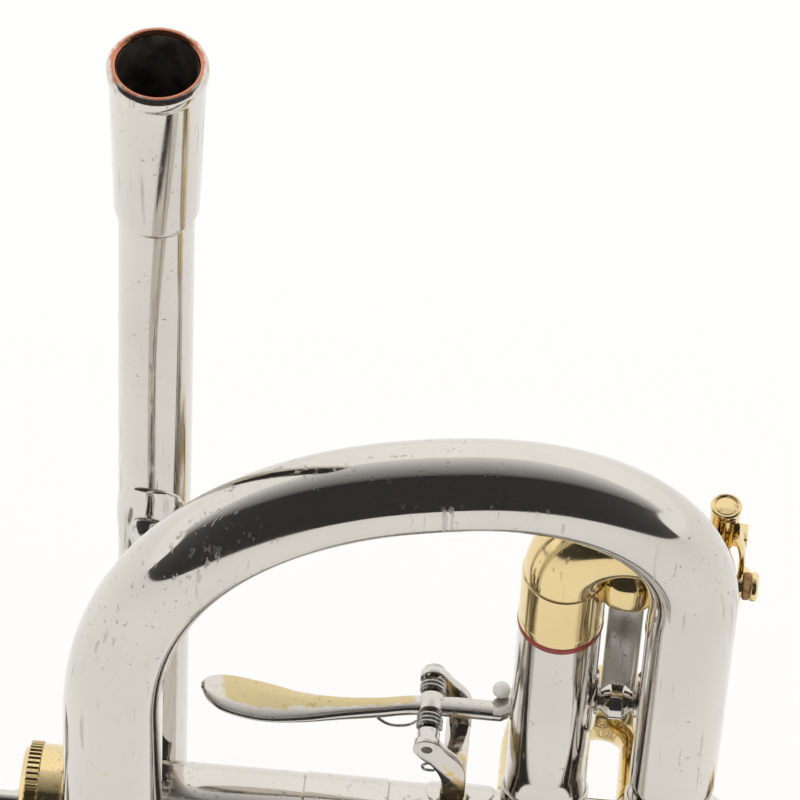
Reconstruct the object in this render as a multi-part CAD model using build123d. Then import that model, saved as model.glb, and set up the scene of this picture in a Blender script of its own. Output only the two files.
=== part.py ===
from build123d import *
from math import cos, radians, sin
import os

# Flugelhorn with three piston valves, in millimetres.
# Origin: centre of the mouthpiece receiver's mouth. +Z runs up the leadpipe and out of the mouth,
# +X from the valve tops to the valve bottoms, -Y to the player's left. It stands on the bell rim.

# Tubing
leg_outer_d = 12.7
leg_inner_d = 12.0
slide_outer_d = 11.92
slide_inner_d = 11.1
sleeve_d = 13.0
crook_outer_d = 12.4
crook_inner_d = 11.1

# Leadpipe and receiver
leadpipe_outer_d = 11.0
leadpipe_inner_d = 9.4
leadpipe_top_z = -24.0
leadpipe_end_z = -226.0
receiver_mouth_d = 11.4
receiver_entry_length = 9.0
receiver_lip_d = 14.4
receiver_length = 31.5
brace_z = -101.0

# Valves
valve_y = -16.0
valve_pitch = 21.5
first_valve_z = -162.1
valve_z = [first_valve_z - valve_pitch * i for i in range(3)]
casing_outer_r = 8.8
casing_bore_r = 8.3
casing_top_x = -17.2
casing_bottom_x = 104.4
cap_r = 9.9
cap_top_x = -18.9
cap_skirt_x = -12.0
cap_bottom_x = 106.2
piston_r = 8.25
piston_top_x = 34.0
piston_bottom_x = 88.0
barrel_top_x = -14.5
barrel_r = 7.0
guide_x = 29.5
guide_thickness = 2.0
stem_r = 1.75
stroke = 15.5
crossover_x = (50.0, 70.0)
tail_port = (93.3, valve_y, first_valve_z)
tail_elbow = (93.3, -22.3, -151.5)
button_x = cap_top_x - stroke - 2.6
button_r = 7.2

# Bell, bow and tail
bell_x = -2.3
bell_y = -35.6
bell_rim_z = -416.0
bell_rim_r = 76.0
rim_wire_r = 1.5
rest_flat = 0.2
bell_wall = 0.7
bell_joint_z = -172.0
throat_r = 7.4
tail_x = 81.7
tail_y = -23.9
tail_r = 6.05
bow_early_r = 7.0
bow_late_r = 6.6
bow_end_r = 6.5
bow_wall = 0.45
bow_throat_z = -106.9
bow_tail_z = -83.6
bow_crest_x = 47.3
bow_crest_z = -52.1
throat_fullness = 2.29
tail_fullness = 2.08
tail_joint_z = -128.0

# First valve slide
slide_x = (62.6, 81.9)
slide_y = -10.0
slide_mid_x = sum(slide_x) / 2
crook_r = (slide_x[1] - slide_x[0]) / 2
first_leg_top_z = -108.6
ring_thickness = 1.3
first_sleeve_top_z = -95.6
spacer_z = -128.5

# Second valve slide
second_slide_x = (61.5, 80.8)
second_leg_end_y = 8.0
second_crook_y = 18.5

# Third valve slide and tuning slide
front_leg_end_z = -268.0
third_crook_z = -290.0
tuning_x = 45.0
tuning_crook_z = -284.0

# Thumb trigger
hinge_x = 44.0
hinge_z = -138.5
hinge_pin_r = 1.0
lever_y = -6.9
lever_width = 3.2
lever_thickness = 2.4
arm_thickness = 1.6
link_x = 72.5
link_y = -1.6

parts = {}


def rod(start, end, diameter):
    """Solid round bar between two points."""
    run = Vector(*end) - Vector(*start)
    plane = Plane(origin=start, z_dir=run)
    return extrude(plane * Circle(diameter / 2), run.length)


def tube(start, end, outer_d, inner_d):
    """Straight pipe between two points."""
    return rod(start, end, outer_d) - rod(start, end, inner_d)


def bent_tube(path, outer_d, inner_d):
    """Pipe that follows a path of lines and arcs."""
    plane = Plane(origin=path @ 0, z_dir=path % 0)
    ring = plane * (Circle(outer_d / 2) - Circle(inner_d / 2))
    return sweep(ring, path=path)


def bar_along(path, diameter):
    """Round wire that follows a path."""
    plane = Plane(origin=path @ 0, z_dir=path % 0)
    return sweep(plane * Circle(diameter / 2), path=path)


def turned(outline, origin, direction):
    """Solid of revolution. The outline is a closed list of (distance along the axis, radius)."""
    profile = make_face(Plane.XZ * Polyline([(r, z) for z, r in outline], close=True))
    return Plane(origin=origin, z_dir=direction).location * revolve(profile, Axis.Z)


def block(low, high):
    """Box between two opposite corners."""
    size = [b - a for a, b in zip(low, high)]
    middle = [(a + b) / 2 for a, b in zip(low, high)]
    return Pos(*middle) * Box(*size)


def u_bend(start, end, direction):
    """Half circle that joins two parallel pipes."""
    a = Vector(*start)
    b = Vector(*end)
    top = (a + b) / 2 + Vector(*direction) * ((b - a).length / 2)
    return ThreePointArc(a, top, b)


def first_crook_path():
    """Centre line of the first slide's crook."""
    start = (slide_x[0], slide_y, first_sleeve_top_z)
    end = (slide_x[1], slide_y, first_sleeve_top_z)
    return u_bend(start, end, (0, 0, 1))


def casing_space(number, radius=casing_outer_r):
    """Cylinder that a valve casing fills, for trimming what meets it."""
    z = valve_z[number]
    return rod((casing_top_x, valve_y, z), (casing_bottom_x, valve_y, z), 2 * radius)


def foot_plate(centre, axis, side, pipe_r, length, width, thickness=0.55):
    """Oval plate wrapped on a pipe, where a brace is soldered to it."""
    half = Vector(*axis) * length / 2
    low = Vector(*centre) - half
    high = Vector(*centre) + half
    shell = tube(tuple(low), tuple(high), 2 * (pipe_r + thickness), 2 * pipe_r)
    plane = Plane(origin=centre, x_dir=axis, z_dir=side)
    outline = extrude(plane * Ellipse(length / 2, width / 2), 2 * pipe_r)
    return shell & outline


# Mouthpiece receiver and leadpipe


def make_receiver():
    lip_r = receiver_lip_d / 2
    mouth_r = receiver_mouth_d / 2
    pipe_r = leadpipe_outer_d / 2
    outline = [
        (0, mouth_r),
        (0, lip_r - 0.35),
        (-0.35, lip_r),
        (-2.3, lip_r),
        (-2.9, 6.85),
        (-30.6, 6.15),
        (-receiver_length, pipe_r + 0.25),
        (-receiver_length, pipe_r),
        (leadpipe_top_z, pipe_r),
        (leadpipe_top_z, 5.25),
        (-receiver_entry_length, mouth_r),
    ]
    parts["mouthpiece_receiver"] = turned(outline, (0, 0, 0), (0, 0, 1))


def make_leadpipe():
    pipe = tube((0, 0, leadpipe_top_z), (0, 0, leadpipe_end_z), leadpipe_outer_d, leadpipe_inner_d)
    parts["leadpipe"] = pipe


def make_leadpipe_brace():
    """Turned post with an oval foot on the leadpipe and one on the bow."""
    pipe_r = leadpipe_outer_d / 2
    start = Vector(0, 0, brace_z)
    end = Vector(bell_x, bell_y, brace_z)
    run = (end - start).normalized()
    length = (end - start).length
    foot = 0.45
    first = pipe_r + foot
    last = length - throat_r - foot
    middle = (first + last) / 2
    outline = [
        (pipe_r, 0),
        (pipe_r, 2.9),
        (first + 0.5, 2.7),
        (first + 2.0, 1.5),
        (middle - 4.0, 1.3),
        (middle - 2.4, 1.9),
        (middle, 2.7),
        (middle + 2.4, 1.9),
        (middle + 4.0, 1.3),
        (last - 2.0, 1.5),
        (last - 0.5, 2.7),
        (last + foot + 1.0, 2.9),
        (last + foot + 1.0, 0),
    ]
    post = turned(outline, tuple(start), tuple(run))
    post -= rod((0, 0, brace_z - 12), (0, 0, brace_z + 12), leadpipe_outer_d)
    post -= rod((bell_x, bell_y, brace_z - 12), (bell_x, bell_y, brace_z + 12), 2 * throat_r)
    pipe_foot = foot_plate(tuple(start), (0, 0, 1), tuple(run), pipe_r, 20, 13)
    bow_foot = foot_plate(tuple(end), (0, 0, 1), tuple(-run), throat_r, 20, 14)
    brace = pipe_foot + post + bow_foot - conical_bow(0)
    parts["leadpipe_brace"] = brace.solids().sort_by(SortBy.VOLUME)[-1]


def make_casing_saddles(bell_solid):
    """Small solder blocks that tie the casings to the leadpipe and to the bell."""
    saddles = []
    for number in (0, 2):
        z = valve_z[number]
        saddle = block((-3.5, -8.4, z - 3), (3.5, -3.5, z + 3))
        saddle -= rod((0, 0, z - 10), (0, 0, z + 10), leadpipe_outer_d)
        saddles.append(saddle - casing_space(number))
    for number in (0, 1):
        z = valve_z[number]
        saddle = block((bell_x - 2.5, bell_y + 6.8, z - 3), (bell_x + 2.5, -23.0, z + 3))
        saddle -= rod((bell_x, bell_y, z - 10), (bell_x, bell_y, z + 10), 2 * throat_r)
        saddle = saddle - bell_solid - casing_space(number)
        saddles.append(saddle.solids().sort_by(SortBy.VOLUME)[-1])
    parts["casing_saddles"] = saddles


def make_pinky_hook():
    """Open finger hook of round wire, on a foot on the far side of the leadpipe."""
    hook_r = 9.5
    wire_d = 3.6
    pipe_r = leadpipe_outer_d / 2
    centre_x = -pipe_r - hook_r - wire_d / 2 - 0.3
    centre_z = -194.0
    place = Plane(origin=(centre_x, 0, centre_z), x_dir=(1, 0, 0), z_dir=(0, -1, 0))
    bend = place * CenterArc((0, 0), hook_r, -70, 215)
    hook = bar_along(bend, wire_d)
    hook += Pos(*(bend @ 0)) * Sphere(wire_d / 2)
    hook += Pos(*(bend @ 1)) * Sphere(wire_d / 2)
    hook += rod((centre_x + hook_r, 0, centre_z), (0, 0, centre_z), wire_d)
    hook -= rod((0, 0, centre_z - 20), (0, 0, centre_z + 20), leadpipe_outer_d)
    foot = foot_plate((0, 0, centre_z), (0, 0, 1), (-1, 0, 0), pipe_r, 14, 9)
    parts["pinky_hook"] = hook + foot


# Valve section


def make_valve_casings():
    casings = []
    for number, z in enumerate(valve_z):
        shell = casing_space(number)
        shell += rod((25.4, valve_y, z), (38.3, valve_y, z), 2 * casing_outer_r + 0.3)
        shell -= rod((casing_top_x - 1, valve_y, z), (casing_bottom_x + 1, valve_y, z), 2 * casing_bore_r)
        casings.append(shell)
    for leg_x in slide_x:
        casings[0] -= rod((leg_x, valve_y, valve_z[0]), (leg_x, slide_y, valve_z[0] + 15), slide_inner_d)
        casings[2] -= rod((leg_x, valve_y, valve_z[2]), (leg_x, slide_y, valve_z[2] - 15), slide_inner_d)
    for leg_x in second_slide_x:
        casings[1] -= rod((leg_x, valve_y, valve_z[1]), (leg_x, valve_y + 15, valve_z[1]), slide_inner_d)
    casings[2] -= rod((tuning_x, valve_y, valve_z[2]), (tuning_x, slide_y, valve_z[2] - 15), slide_inner_d)
    for upper, port_x in ((0, crossover_x[0]), (1, crossover_x[1])):
        low = valve_z[upper + 1]
        port = rod((port_x, valve_y, valve_z[upper]), (port_x, valve_y, low), slide_inner_d)
        casings[upper] -= port
        casings[upper + 1] -= port
    casings[0] -= rod(tail_port, tail_elbow, 2 * tail_r - 1.2)
    parts["valve_casings"] = casings


def make_valve_knuckles():
    """Pipes between the casings, and the collars where the slide legs enter them."""
    knuckles = []
    for upper, port_x in ((0, crossover_x[0]), (1, crossover_x[1])):
        crossover = tube(
            (port_x, valve_y, valve_z[upper]), (port_x, valve_y, valve_z[upper + 1]), 12.2, slide_inner_d
        )
        knuckles.append(crossover - casing_space(upper) - casing_space(upper + 1))
    for number, up, columns in ((0, 1, slide_x), (2, -1, slide_x + (tuning_x,))):
        for leg_x in columns:
            start = Vector(leg_x, valve_y, valve_z[number])
            slope = Vector(0, slide_y - valve_y, 15 * up).normalized()
            collar = tube(tuple(start), tuple(start + slope * 12.4), leg_outer_d + 1.0, leg_outer_d)
            knuckles.append(collar - casing_space(number))
    for leg_x in second_slide_x:
        start = (leg_x, valve_y, valve_z[1])
        end = (leg_x, valve_y + 12.4, valve_z[1])
        knuckles.append(tube(start, end, leg_outer_d + 1.0, leg_outer_d) - casing_space(1))
    parts["valve_knuckles"] = knuckles


def make_caps():
    top_outline = [
        (cap_top_x, 2.1),
        (cap_top_x, cap_r - 0.6),
        (cap_top_x + 0.6, cap_r),
        (-16.0, cap_r),
        (-16.0, cap_r - 0.3),
        (cap_skirt_x - 0.3, cap_r - 0.3),
        (cap_skirt_x, cap_r - 0.6),
        (cap_skirt_x, casing_outer_r),
        (casing_top_x, casing_outer_r),
        (casing_top_x, 2.1),
    ]
    bottom_outline = [
        (99.8, casing_outer_r),
        (99.8, cap_r - 0.4),
        (100.2, cap_r),
        (105.6, cap_r),
        (cap_bottom_x, cap_r - 0.6),
        (cap_bottom_x, 1.5),
        (casing_bottom_x, 1.5),
        (casing_bottom_x, casing_outer_r),
    ]
    tops = []
    bottoms = []
    for z in valve_z:
        tops.append(turned(top_outline, (0, valve_y, z), (1, 0, 0)))
        bottoms.append(turned(bottom_outline, (0, valve_y, z), (1, 0, 0)))
    parts["top_caps"] = tops
    parts["bottom_caps"] = bottoms


def make_valve_guides():
    """Star discs, held in the casings, that keep the pistons from turning."""
    guides = []
    for z in valve_z:
        hub = rod((guide_x, valve_y, z), (guide_x + guide_thickness, valve_y, z), 11.8)
        wings = block((guide_x, valve_y - 8.6, z - 1.9), (guide_x + guide_thickness, valve_y + 8.6, z + 1.9))
        wings &= rod((guide_x, valve_y, z), (guide_x + guide_thickness, valve_y, z), 2 * casing_bore_r)
        guides.append(hub + wings)
    parts["valve_guides"] = guides


def make_piston(number):
    """Hollow piston with three cross passages and a slotted spring barrel on top."""
    z = valve_z[number]
    across = Vector(0, 1, 0) if number == 1 else Vector(0, 0, 1)
    skin = rod((piston_top_x, valve_y, z), (piston_bottom_x, valve_y, z), 2 * piston_r)
    body = skin - rod((piston_top_x + 1.5, valve_y, z), (piston_bottom_x - 1.2, valve_y, z), 2 * piston_r - 1.6)
    for passage_x in (46.2, 63.0, 80.5):
        centre = Vector(passage_x, valve_y, z)
        low = tuple(centre - across * 10)
        high = tuple(centre + across * 10)
        body += rod(low, high, slide_inner_d + 0.8) & skin
        body -= rod(low, high, slide_inner_d)
    barrel = rod((barrel_top_x, valve_y, z), (piston_top_x, valve_y, z), 2 * barrel_r)
    barrel -= rod((barrel_top_x + 1.5, valve_y, z), (piston_top_x, valve_y, z), 2 * barrel_r - 1.6)
    barrel -= rod((barrel_top_x - 1, valve_y, z), (barrel_top_x + 2, valve_y, z), 2 * stem_r)
    slot_low = (guide_x - stroke - 1.0, valve_y - 9, z - 2.2)
    slot_high = (guide_x + guide_thickness + 0.6, valve_y + 9, z + 2.2)
    parts[f"valve_piston_{number + 1}"] = body + (barrel - block(slot_low, slot_high))


def make_valve_top(number):
    """Stem, finger button, pearl and felts of one valve."""
    z = valve_z[number]
    stem = rod((button_x, valve_y, z), (barrel_top_x + 1.5, valve_y, z), 2 * stem_r)
    parts[f"valve_stem_{number + 1}"] = stem
    outline = [
        (button_x, 0),
        (button_x, 3.2),
        (button_x - 1.2, 5.4),
        (button_x - 3.4, button_r),
        (button_x - 4.6, button_r),
        (button_x - 4.6, 6.1),
        (button_x - 3.6, 6.1),
        (button_x - 3.6, 0),
    ]
    parts[f"finger_button_{number + 1}"] = turned(outline, (0, valve_y, z), (1, 0, 0))
    pearl = [
        (button_x - 3.6, 0),
        (button_x - 3.6, 6.0),
        (button_x - 4.7, 6.0),
        (button_x - 4.9, 5.4),
        (button_x - 4.6, 3.0),
        (button_x - 4.5, 0),
    ]
    parts[f"button_pearl_{number + 1}"] = turned(pearl, (0, valve_y, z), (1, 0, 0))
    outer_felt = tube((button_x, valve_y, z), (button_x + 2.4, valve_y, z), 10.6, 2 * stem_r)
    inner_felt = tube((barrel_top_x - 2.6, valve_y, z), (barrel_top_x, valve_y, z), 11.6, 2 * stem_r)
    parts[f"valve_felts_{number + 1}"] = [outer_felt, inner_felt]


def make_valve_spring(number):
    """Coil spring between the guide and the closed top of the barrel."""
    wire_d = 0.9
    low_x = barrel_top_x + 1.5 + wire_d / 2 + 0.1
    high_x = guide_x - wire_d / 2 - 0.1
    coil = Helix(pitch=4.4, height=high_x - low_x, radius=5.4)
    wire = bar_along(coil, wire_d)
    place = Plane(origin=(low_x, valve_y, valve_z[number]), z_dir=(1, 0, 0))
    parts[f"valve_spring_{number + 1}"] = place.location * wire


# Bell, bow and tail


def bell_outline_r(distance):
    """Outer radius of the bell at a distance from its rim."""
    n = distance / 38.0
    base = throat_r - 0.25
    return base + (bell_rim_r - rim_wire_r - base) / (1 + 0.9 * n + 0.11 * n**2 + 0.00085 * n**6)


def make_bell():
    """Flaring bell. Its wall follows one curve, sampled closer together at the rim."""
    length = bell_joint_z - bell_rim_z - rim_wire_r
    steps = 15
    outer = []
    for step in range(steps + 1):
        distance = length * (step / steps) ** 1.7
        outer.append((bell_outline_r(distance), bell_rim_z + rim_wire_r + distance))
    inner = [(r - bell_wall, z) for r, z in outer]
    outside = Spline(outer)
    inside = Spline(inner)
    edges = [outside, Line(outer[-1], inner[-1]), inside, Line(inner[0], outer[0])]
    profile = make_face(Plane.XZ * Wire(edges))
    return Pos(bell_x, bell_y, 0) * revolve(profile, Axis.Z)


def make_bell_rim():
    """Wire rolled into the rim, flattened slightly where the bell rests on it."""
    ring = Pos(bell_x, bell_y, bell_rim_z + rim_wire_r) * Torus(bell_rim_r - rim_wire_r, rim_wire_r)
    low = (bell_x - 90, bell_y - 90, bell_rim_z - 5)
    high = (bell_x + 90, bell_y + 90, bell_rim_z + rest_flat)
    return ring - block(low, high)


def bow_quarter(foot_x, foot_y, foot_z, fullness, steps=7):
    """Points from one end of the bow up to its crest, on an oval that a fullness above 2 makes squarer."""
    crest_y = bell_y + (tail_y - bell_y) * (bow_crest_x - bell_x) / (tail_x - bell_x)
    points = []
    for step in range(steps + 1):
        angle = 90 * step / steps
        across = 1 - cos(radians(angle)) ** (2 / fullness)
        rise = sin(radians(angle)) ** (2 / fullness)
        x = foot_x + (bow_crest_x - foot_x) * across
        points.append((x, foot_y + (crest_y - foot_y) * across, foot_z + (bow_crest_z - foot_z) * rise))
    return points


def bow_path():
    """Centre line of the bow, from the throat over the crest to the tail."""
    up = bow_quarter(bell_x, bell_y, bow_throat_z, throat_fullness)
    down = bow_quarter(tail_x, tail_y, bow_tail_z, tail_fullness)
    return Spline(up + down[-2::-1], tangents=((0, 0, 1), (0, 0, -1)))


def conical_bow(shrink):
    """Bend that narrows from the throat to the tail."""
    bend = bow_path()
    stations = ((0, throat_r), (0.33, bow_early_r), (0.66, bow_late_r), (1, bow_end_r))
    sections = [Plane(origin=bend @ t, z_dir=bend % t) * Circle(r - shrink) for t, r in stations]
    return sweep(sections, path=bend, multisection=True)


def make_bow():
    throat_end = (bell_x, bell_y, bell_joint_z)
    throat_top = (bell_x, bell_y, bow_throat_z)
    tail_top = (tail_x, tail_y, bow_tail_z)
    tail_end = (tail_x, tail_y, tail_joint_z)
    bend = conical_bow(0) - conical_bow(bow_wall)
    throat = tube(throat_end, throat_top, 2 * throat_r, 2 * (throat_r - bow_wall))
    tail = tube(tail_top, tail_end, 2 * bow_end_r, 2 * tail_r)
    parts["bell_bow"] = bend + throat + tail
    ferrule = tube((bell_x, bell_y, bell_joint_z - 5), (bell_x, bell_y, bell_joint_z + 5), 18.4, 2 * throat_r)
    parts["bell_ferrule"] = (ferrule - parts["bell"]).solids().sort_by(SortBy.VOLUME)[-1]


def make_tail():
    """Pipe from the bow's socket to the lowest port of the first casing."""
    path = FilletPolyline(
        (tail_x, tail_y, tail_joint_z + 10),
        (tail_x, tail_y, -136),
        tail_elbow,
        tail_port,
        radius=13,
    )
    parts["bell_tail"] = bent_tube(path, 2 * tail_r, 2 * tail_r - 1.2) - casing_space(0)


# Valve slides


def offset_leg(number, leg_x, end_z):
    """Outer slide leg that leaves a casing to one side and then runs parallel to the leadpipe."""
    up = 1 if end_z > valve_z[number] else -1
    path = FilletPolyline(
        (leg_x, valve_y, valve_z[number]),
        (leg_x, slide_y, valve_z[number] + 15 * up),
        (leg_x, slide_y, end_z),
        radius=14,
    )
    return bent_tube(path, leg_outer_d, leg_inner_d) - casing_space(number)


def make_first_slide():
    legs = [offset_leg(0, leg_x, first_leg_top_z) for leg_x in slide_x]
    parts["first_slide_outer"] = legs
    inner = []
    rings = []
    brass = []
    sleeve_base_z = first_leg_top_z + ring_thickness
    for leg_x in slide_x:
        low = (leg_x, slide_y, first_leg_top_z - 28)
        high = (leg_x, slide_y, first_sleeve_top_z)
        base = (leg_x, slide_y, sleeve_base_z)
        inner.append(tube(low, high, slide_outer_d, slide_inner_d))
        ring_low = (leg_x, slide_y, first_leg_top_z + 0.02)
        rings.append(tube(ring_low, base, sleeve_d + 0.1, slide_outer_d))
        brass.append(tube(base, high, sleeve_d, slide_outer_d))
    parts["first_slide_inner"] = inner
    parts["first_slide_rings"] = rings
    parts["first_slide_crook"] = brass + [bent_tube(first_crook_path(), crook_outer_d, crook_inner_d)]


def make_first_slide_spacer():
    """Turned spacer between the two outer legs, with a wrapped foot on each."""
    leg_r = leg_outer_d / 2
    start = slide_x[0] + leg_r + 0.1
    end = slide_x[1] - leg_r - 0.1
    middle = slide_mid_x
    outline = [
        (start, 0),
        (start, 2.6),
        (middle - 2.5, 1.5),
        (middle - 1.9, 2.0),
        (middle - 1.0, 2.75),
        (middle + 1.0, 2.75),
        (middle + 1.9, 2.0),
        (middle + 2.5, 1.5),
        (end, 2.6),
        (end, 0),
    ]
    spacer = turned(outline, (0, slide_y, spacer_z), (1, 0, 0))
    for leg_x, side in zip(slide_x, (1, -1)):
        spacer += foot_plate((leg_x, slide_y, spacer_z), (0, 0, 1), (side, 0, 0), leg_r, 13, 9)
    parts["first_slide_spacer"] = spacer


def make_second_slide():
    legs = []
    inner = []
    brass = []
    z = valve_z[1]
    for leg_x in second_slide_x:
        leg = tube((leg_x, valve_y, z), (leg_x, second_leg_end_y, z), leg_outer_d, leg_inner_d)
        legs.append(leg - casing_space(1))
        inner.append(tube((leg_x, -6.6, z), (leg_x, second_crook_y, z), slide_outer_d, slide_inner_d))
        sleeve_start = (leg_x, second_leg_end_y + 0.1, z)
        brass.append(tube(sleeve_start, (leg_x, second_crook_y, z), sleeve_d, slide_outer_d))
    parts["second_slide_outer"] = legs
    parts["second_slide_inner"] = inner
    bend = u_bend((second_slide_x[0], second_crook_y, z), (second_slide_x[1], second_crook_y, z), (0, 1, 0))
    parts["second_slide_crook"] = brass + [bent_tube(bend, crook_outer_d, crook_inner_d)]


def make_third_slide():
    legs = [offset_leg(2, leg_x, front_leg_end_z) for leg_x in slide_x]
    parts["third_slide_outer"] = legs
    inner = []
    brass = []
    for leg_x in slide_x:
        base = (leg_x, slide_y, third_crook_z)
        inner.append(tube((leg_x, slide_y, front_leg_end_z + 36), base, slide_outer_d, slide_inner_d))
        brass.append(tube((leg_x, slide_y, front_leg_end_z - 0.1), base, sleeve_d, slide_outer_d))
    parts["third_slide_inner"] = inner
    bend = u_bend((slide_x[0], slide_y, third_crook_z), (slide_x[1], slide_y, third_crook_z), (0, 0, -1))
    parts["third_slide_crook"] = brass + [bent_tube(bend, crook_outer_d, crook_inner_d)]
    ring_r = 10.8
    wire_r = 1.7
    sleeve_r = sleeve_d / 2
    ring_y = slide_y - sleeve_r - ring_r - wire_r - 0.2
    ring_z = front_leg_end_z - 11
    ring = Pos(slide_x[0], ring_y, ring_z) * Rot(0, 90, 0) * Torus(ring_r, wire_r)
    stalk = rod((slide_x[0], ring_y + ring_r, ring_z), (slide_x[0], slide_y, ring_z), 3.4)
    stalk -= rod((slide_x[0], slide_y, ring_z - 15), (slide_x[0], slide_y, ring_z + 15), sleeve_d)
    foot = foot_plate((slide_x[0], slide_y, ring_z), (0, 0, 1), (0, -1, 0), sleeve_r, 16, 8)
    parts["third_slide_ring"] = ring + stalk + foot


def make_tuning_slide():
    pipe_r = leadpipe_outer_d / 2
    neck = [
        (-212, pipe_r),
        (-212, pipe_r + 0.5),
        (-214, 6.9),
        (-224, 6.9),
        (-226, leg_outer_d / 2),
        (front_leg_end_z, leg_outer_d / 2),
        (front_leg_end_z, leg_inner_d / 2),
        (leadpipe_end_z, leg_inner_d / 2),
        (leadpipe_end_z, pipe_r),
    ]
    upper = turned(neck, (0, 0, 0), (0, 0, 1))
    parts["tuning_slide_outer"] = [upper, offset_leg(2, tuning_x, front_leg_end_z)]
    inner = []
    brass = []
    for leg_x, leg_y in ((0, 0), (tuning_x, slide_y)):
        base = (leg_x, leg_y, tuning_crook_z)
        inner.append(tube((leg_x, leg_y, front_leg_end_z + 38), base, slide_outer_d, slide_inner_d))
        brass.append(tube((leg_x, leg_y, front_leg_end_z - 0.1), base, sleeve_d, slide_outer_d))
    parts["tuning_slide_inner"] = inner
    bend = u_bend((0, 0, tuning_crook_z), (tuning_x, slide_y, tuning_crook_z), (0, 0, -1))
    parts["tuning_slide_crook"] = brass + [bent_tube(bend, crook_outer_d, crook_inner_d)]


# Thumb trigger of the first slide


def make_trigger_saddle():
    """Bracket soldered on the first casing, with two ears that hold the hinge screw."""
    z = valve_z[0]
    shell = tube((44.0, valve_y, z), (55.0, valve_y, z), 2 * casing_outer_r + 1.2, 2 * casing_outer_r)
    window = Plane(origin=(49.5, -10.5, z), x_dir=(1, 0, 0), z_dir=(0, 0, 1))
    saddle = shell & extrude(window * Ellipse(5.4, 7.0), 12)
    yoke = block((46.2, -15.4, z), (50.4, -0.8, -149.4)) - casing_space(0)
    yoke -= block((40, -20, z - 5), (60, 5, -155.5))
    saddle += yoke
    arm_outline = [(42.3, -139.6), (45.4, -136.9), (50.4, -143.0), (50.4, -151.0), (46.2, -151.0), (46.0, -145.5)]
    for ear_low, ear_high in ((-15.4, -14.0), (-2.2, -0.8)):
        plane = Plane(origin=(0, ear_low, 0), x_dir=(1, 0, 0), z_dir=(0, -1, 0))
        arm = extrude(plane * make_face(Polyline(arm_outline, close=True)), -(ear_high - ear_low))
        arm += rod((hinge_x, ear_low, hinge_z), (hinge_x, ear_high, hinge_z), 4.4)
        saddle += arm
    saddle += rod((hinge_x, -14.0, hinge_z), (hinge_x, -11.9, hinge_z), 3.6)
    saddle -= rod((hinge_x, -20, hinge_z), (hinge_x, 5, hinge_z), 2 * hinge_pin_r)
    parts["trigger_saddle"] = saddle


def make_trigger_screw():
    screw = rod((hinge_x, -15.2, hinge_z), (hinge_x, -0.2, hinge_z), 2 * hinge_pin_r)
    screw += rod((hinge_x, -0.8, hinge_z), (hinge_x, 0.2, hinge_z), 3.4)
    parts["trigger_screw"] = screw


def make_trigger_lever():
    """Thumb spoon, dipping bar, hinge hub and the offset arm that reaches behind the upper leg."""
    half = lever_thickness / 2
    crest = [(8.0, -138.9), (12.5, -140.4), (24.0, -142.3), (36.0, -140.3), (hinge_x, hinge_z), (55.0, hinge_z)]
    upper = Spline([(x, z + half) for x, z in crest])
    lower = Spline([(x, z - half) for x, z in crest])
    edges = [upper, Line(upper @ 1, lower @ 1), lower, Line(lower @ 0, upper @ 0)]
    side = make_face(Plane.XZ * Wire(edges))
    band = extrude(side, 12, both=True)
    widths = [(8.2, 1.0), (10.0, 2.9), (14.5, 4.2), (21.0, 3.7), (29.0, 2.4), (38.0, lever_width / 2)]
    near = Spline([(x, lever_y - w) for x, w in widths])
    far = Spline([(x, lever_y + w) for x, w in widths])
    tip = ThreePointArc(near @ 0, (7.9, lever_y), far @ 0)
    bar_end = Line(near @ 1, (55.0, lever_y - lever_width / 2))
    end = Line((55.0, lever_y - lever_width / 2), (55.0, lever_y + lever_width / 2))
    bar_back = Line((55.0, lever_y + lever_width / 2), far @ 1)
    plan = make_face(Wire([near, bar_end, end, bar_back, far, tip]))
    lever = band & (Pos(0, 0, -170) * extrude(plan, 60))
    arm_plan = [
        (53.8, lever_y - lever_width / 2),
        (54.9, lever_y - lever_width / 2),
        (60.0, link_y - 1.0),
        (73.2, link_y - 1.0),
        (73.2, link_y + 1.6),
        (58.6, link_y + 1.6),
        (53.8, lever_y + lever_width / 2),
    ]
    arm = extrude(make_face(Polyline(arm_plan, close=True)), arm_thickness)
    lever += Pos(0, 0, hinge_z - arm_thickness / 2) * arm
    hub_low = (hinge_x, lever_y - lever_width / 2, hinge_z)
    hub_high = (hinge_x, lever_y + lever_width / 2, hinge_z)
    lever += rod(hub_low, hub_high, 3.8)
    lever -= rod((hinge_x, -20, hinge_z), (hinge_x, 5, hinge_z), 2 * hinge_pin_r + 0.1)
    parts["trigger_lever"] = lever


def make_trigger_springs():
    """Two torsion coils on the hinge screw, one each side of the lever."""
    wire_d = 0.7
    coils = []
    for low_y, high_y in ((-11.6, -9.0), (-4.8, -2.5)):
        height = high_y - low_y - wire_d
        coil = Helix(pitch=wire_d + 0.06, height=height, radius=1.75)
        place = Plane(origin=(hinge_x, low_y + wire_d / 2, hinge_z), z_dir=(0, 1, 0))
        coils.append(place.location * bar_along(coil, wire_d))
    parts["trigger_springs"] = coils


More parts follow.
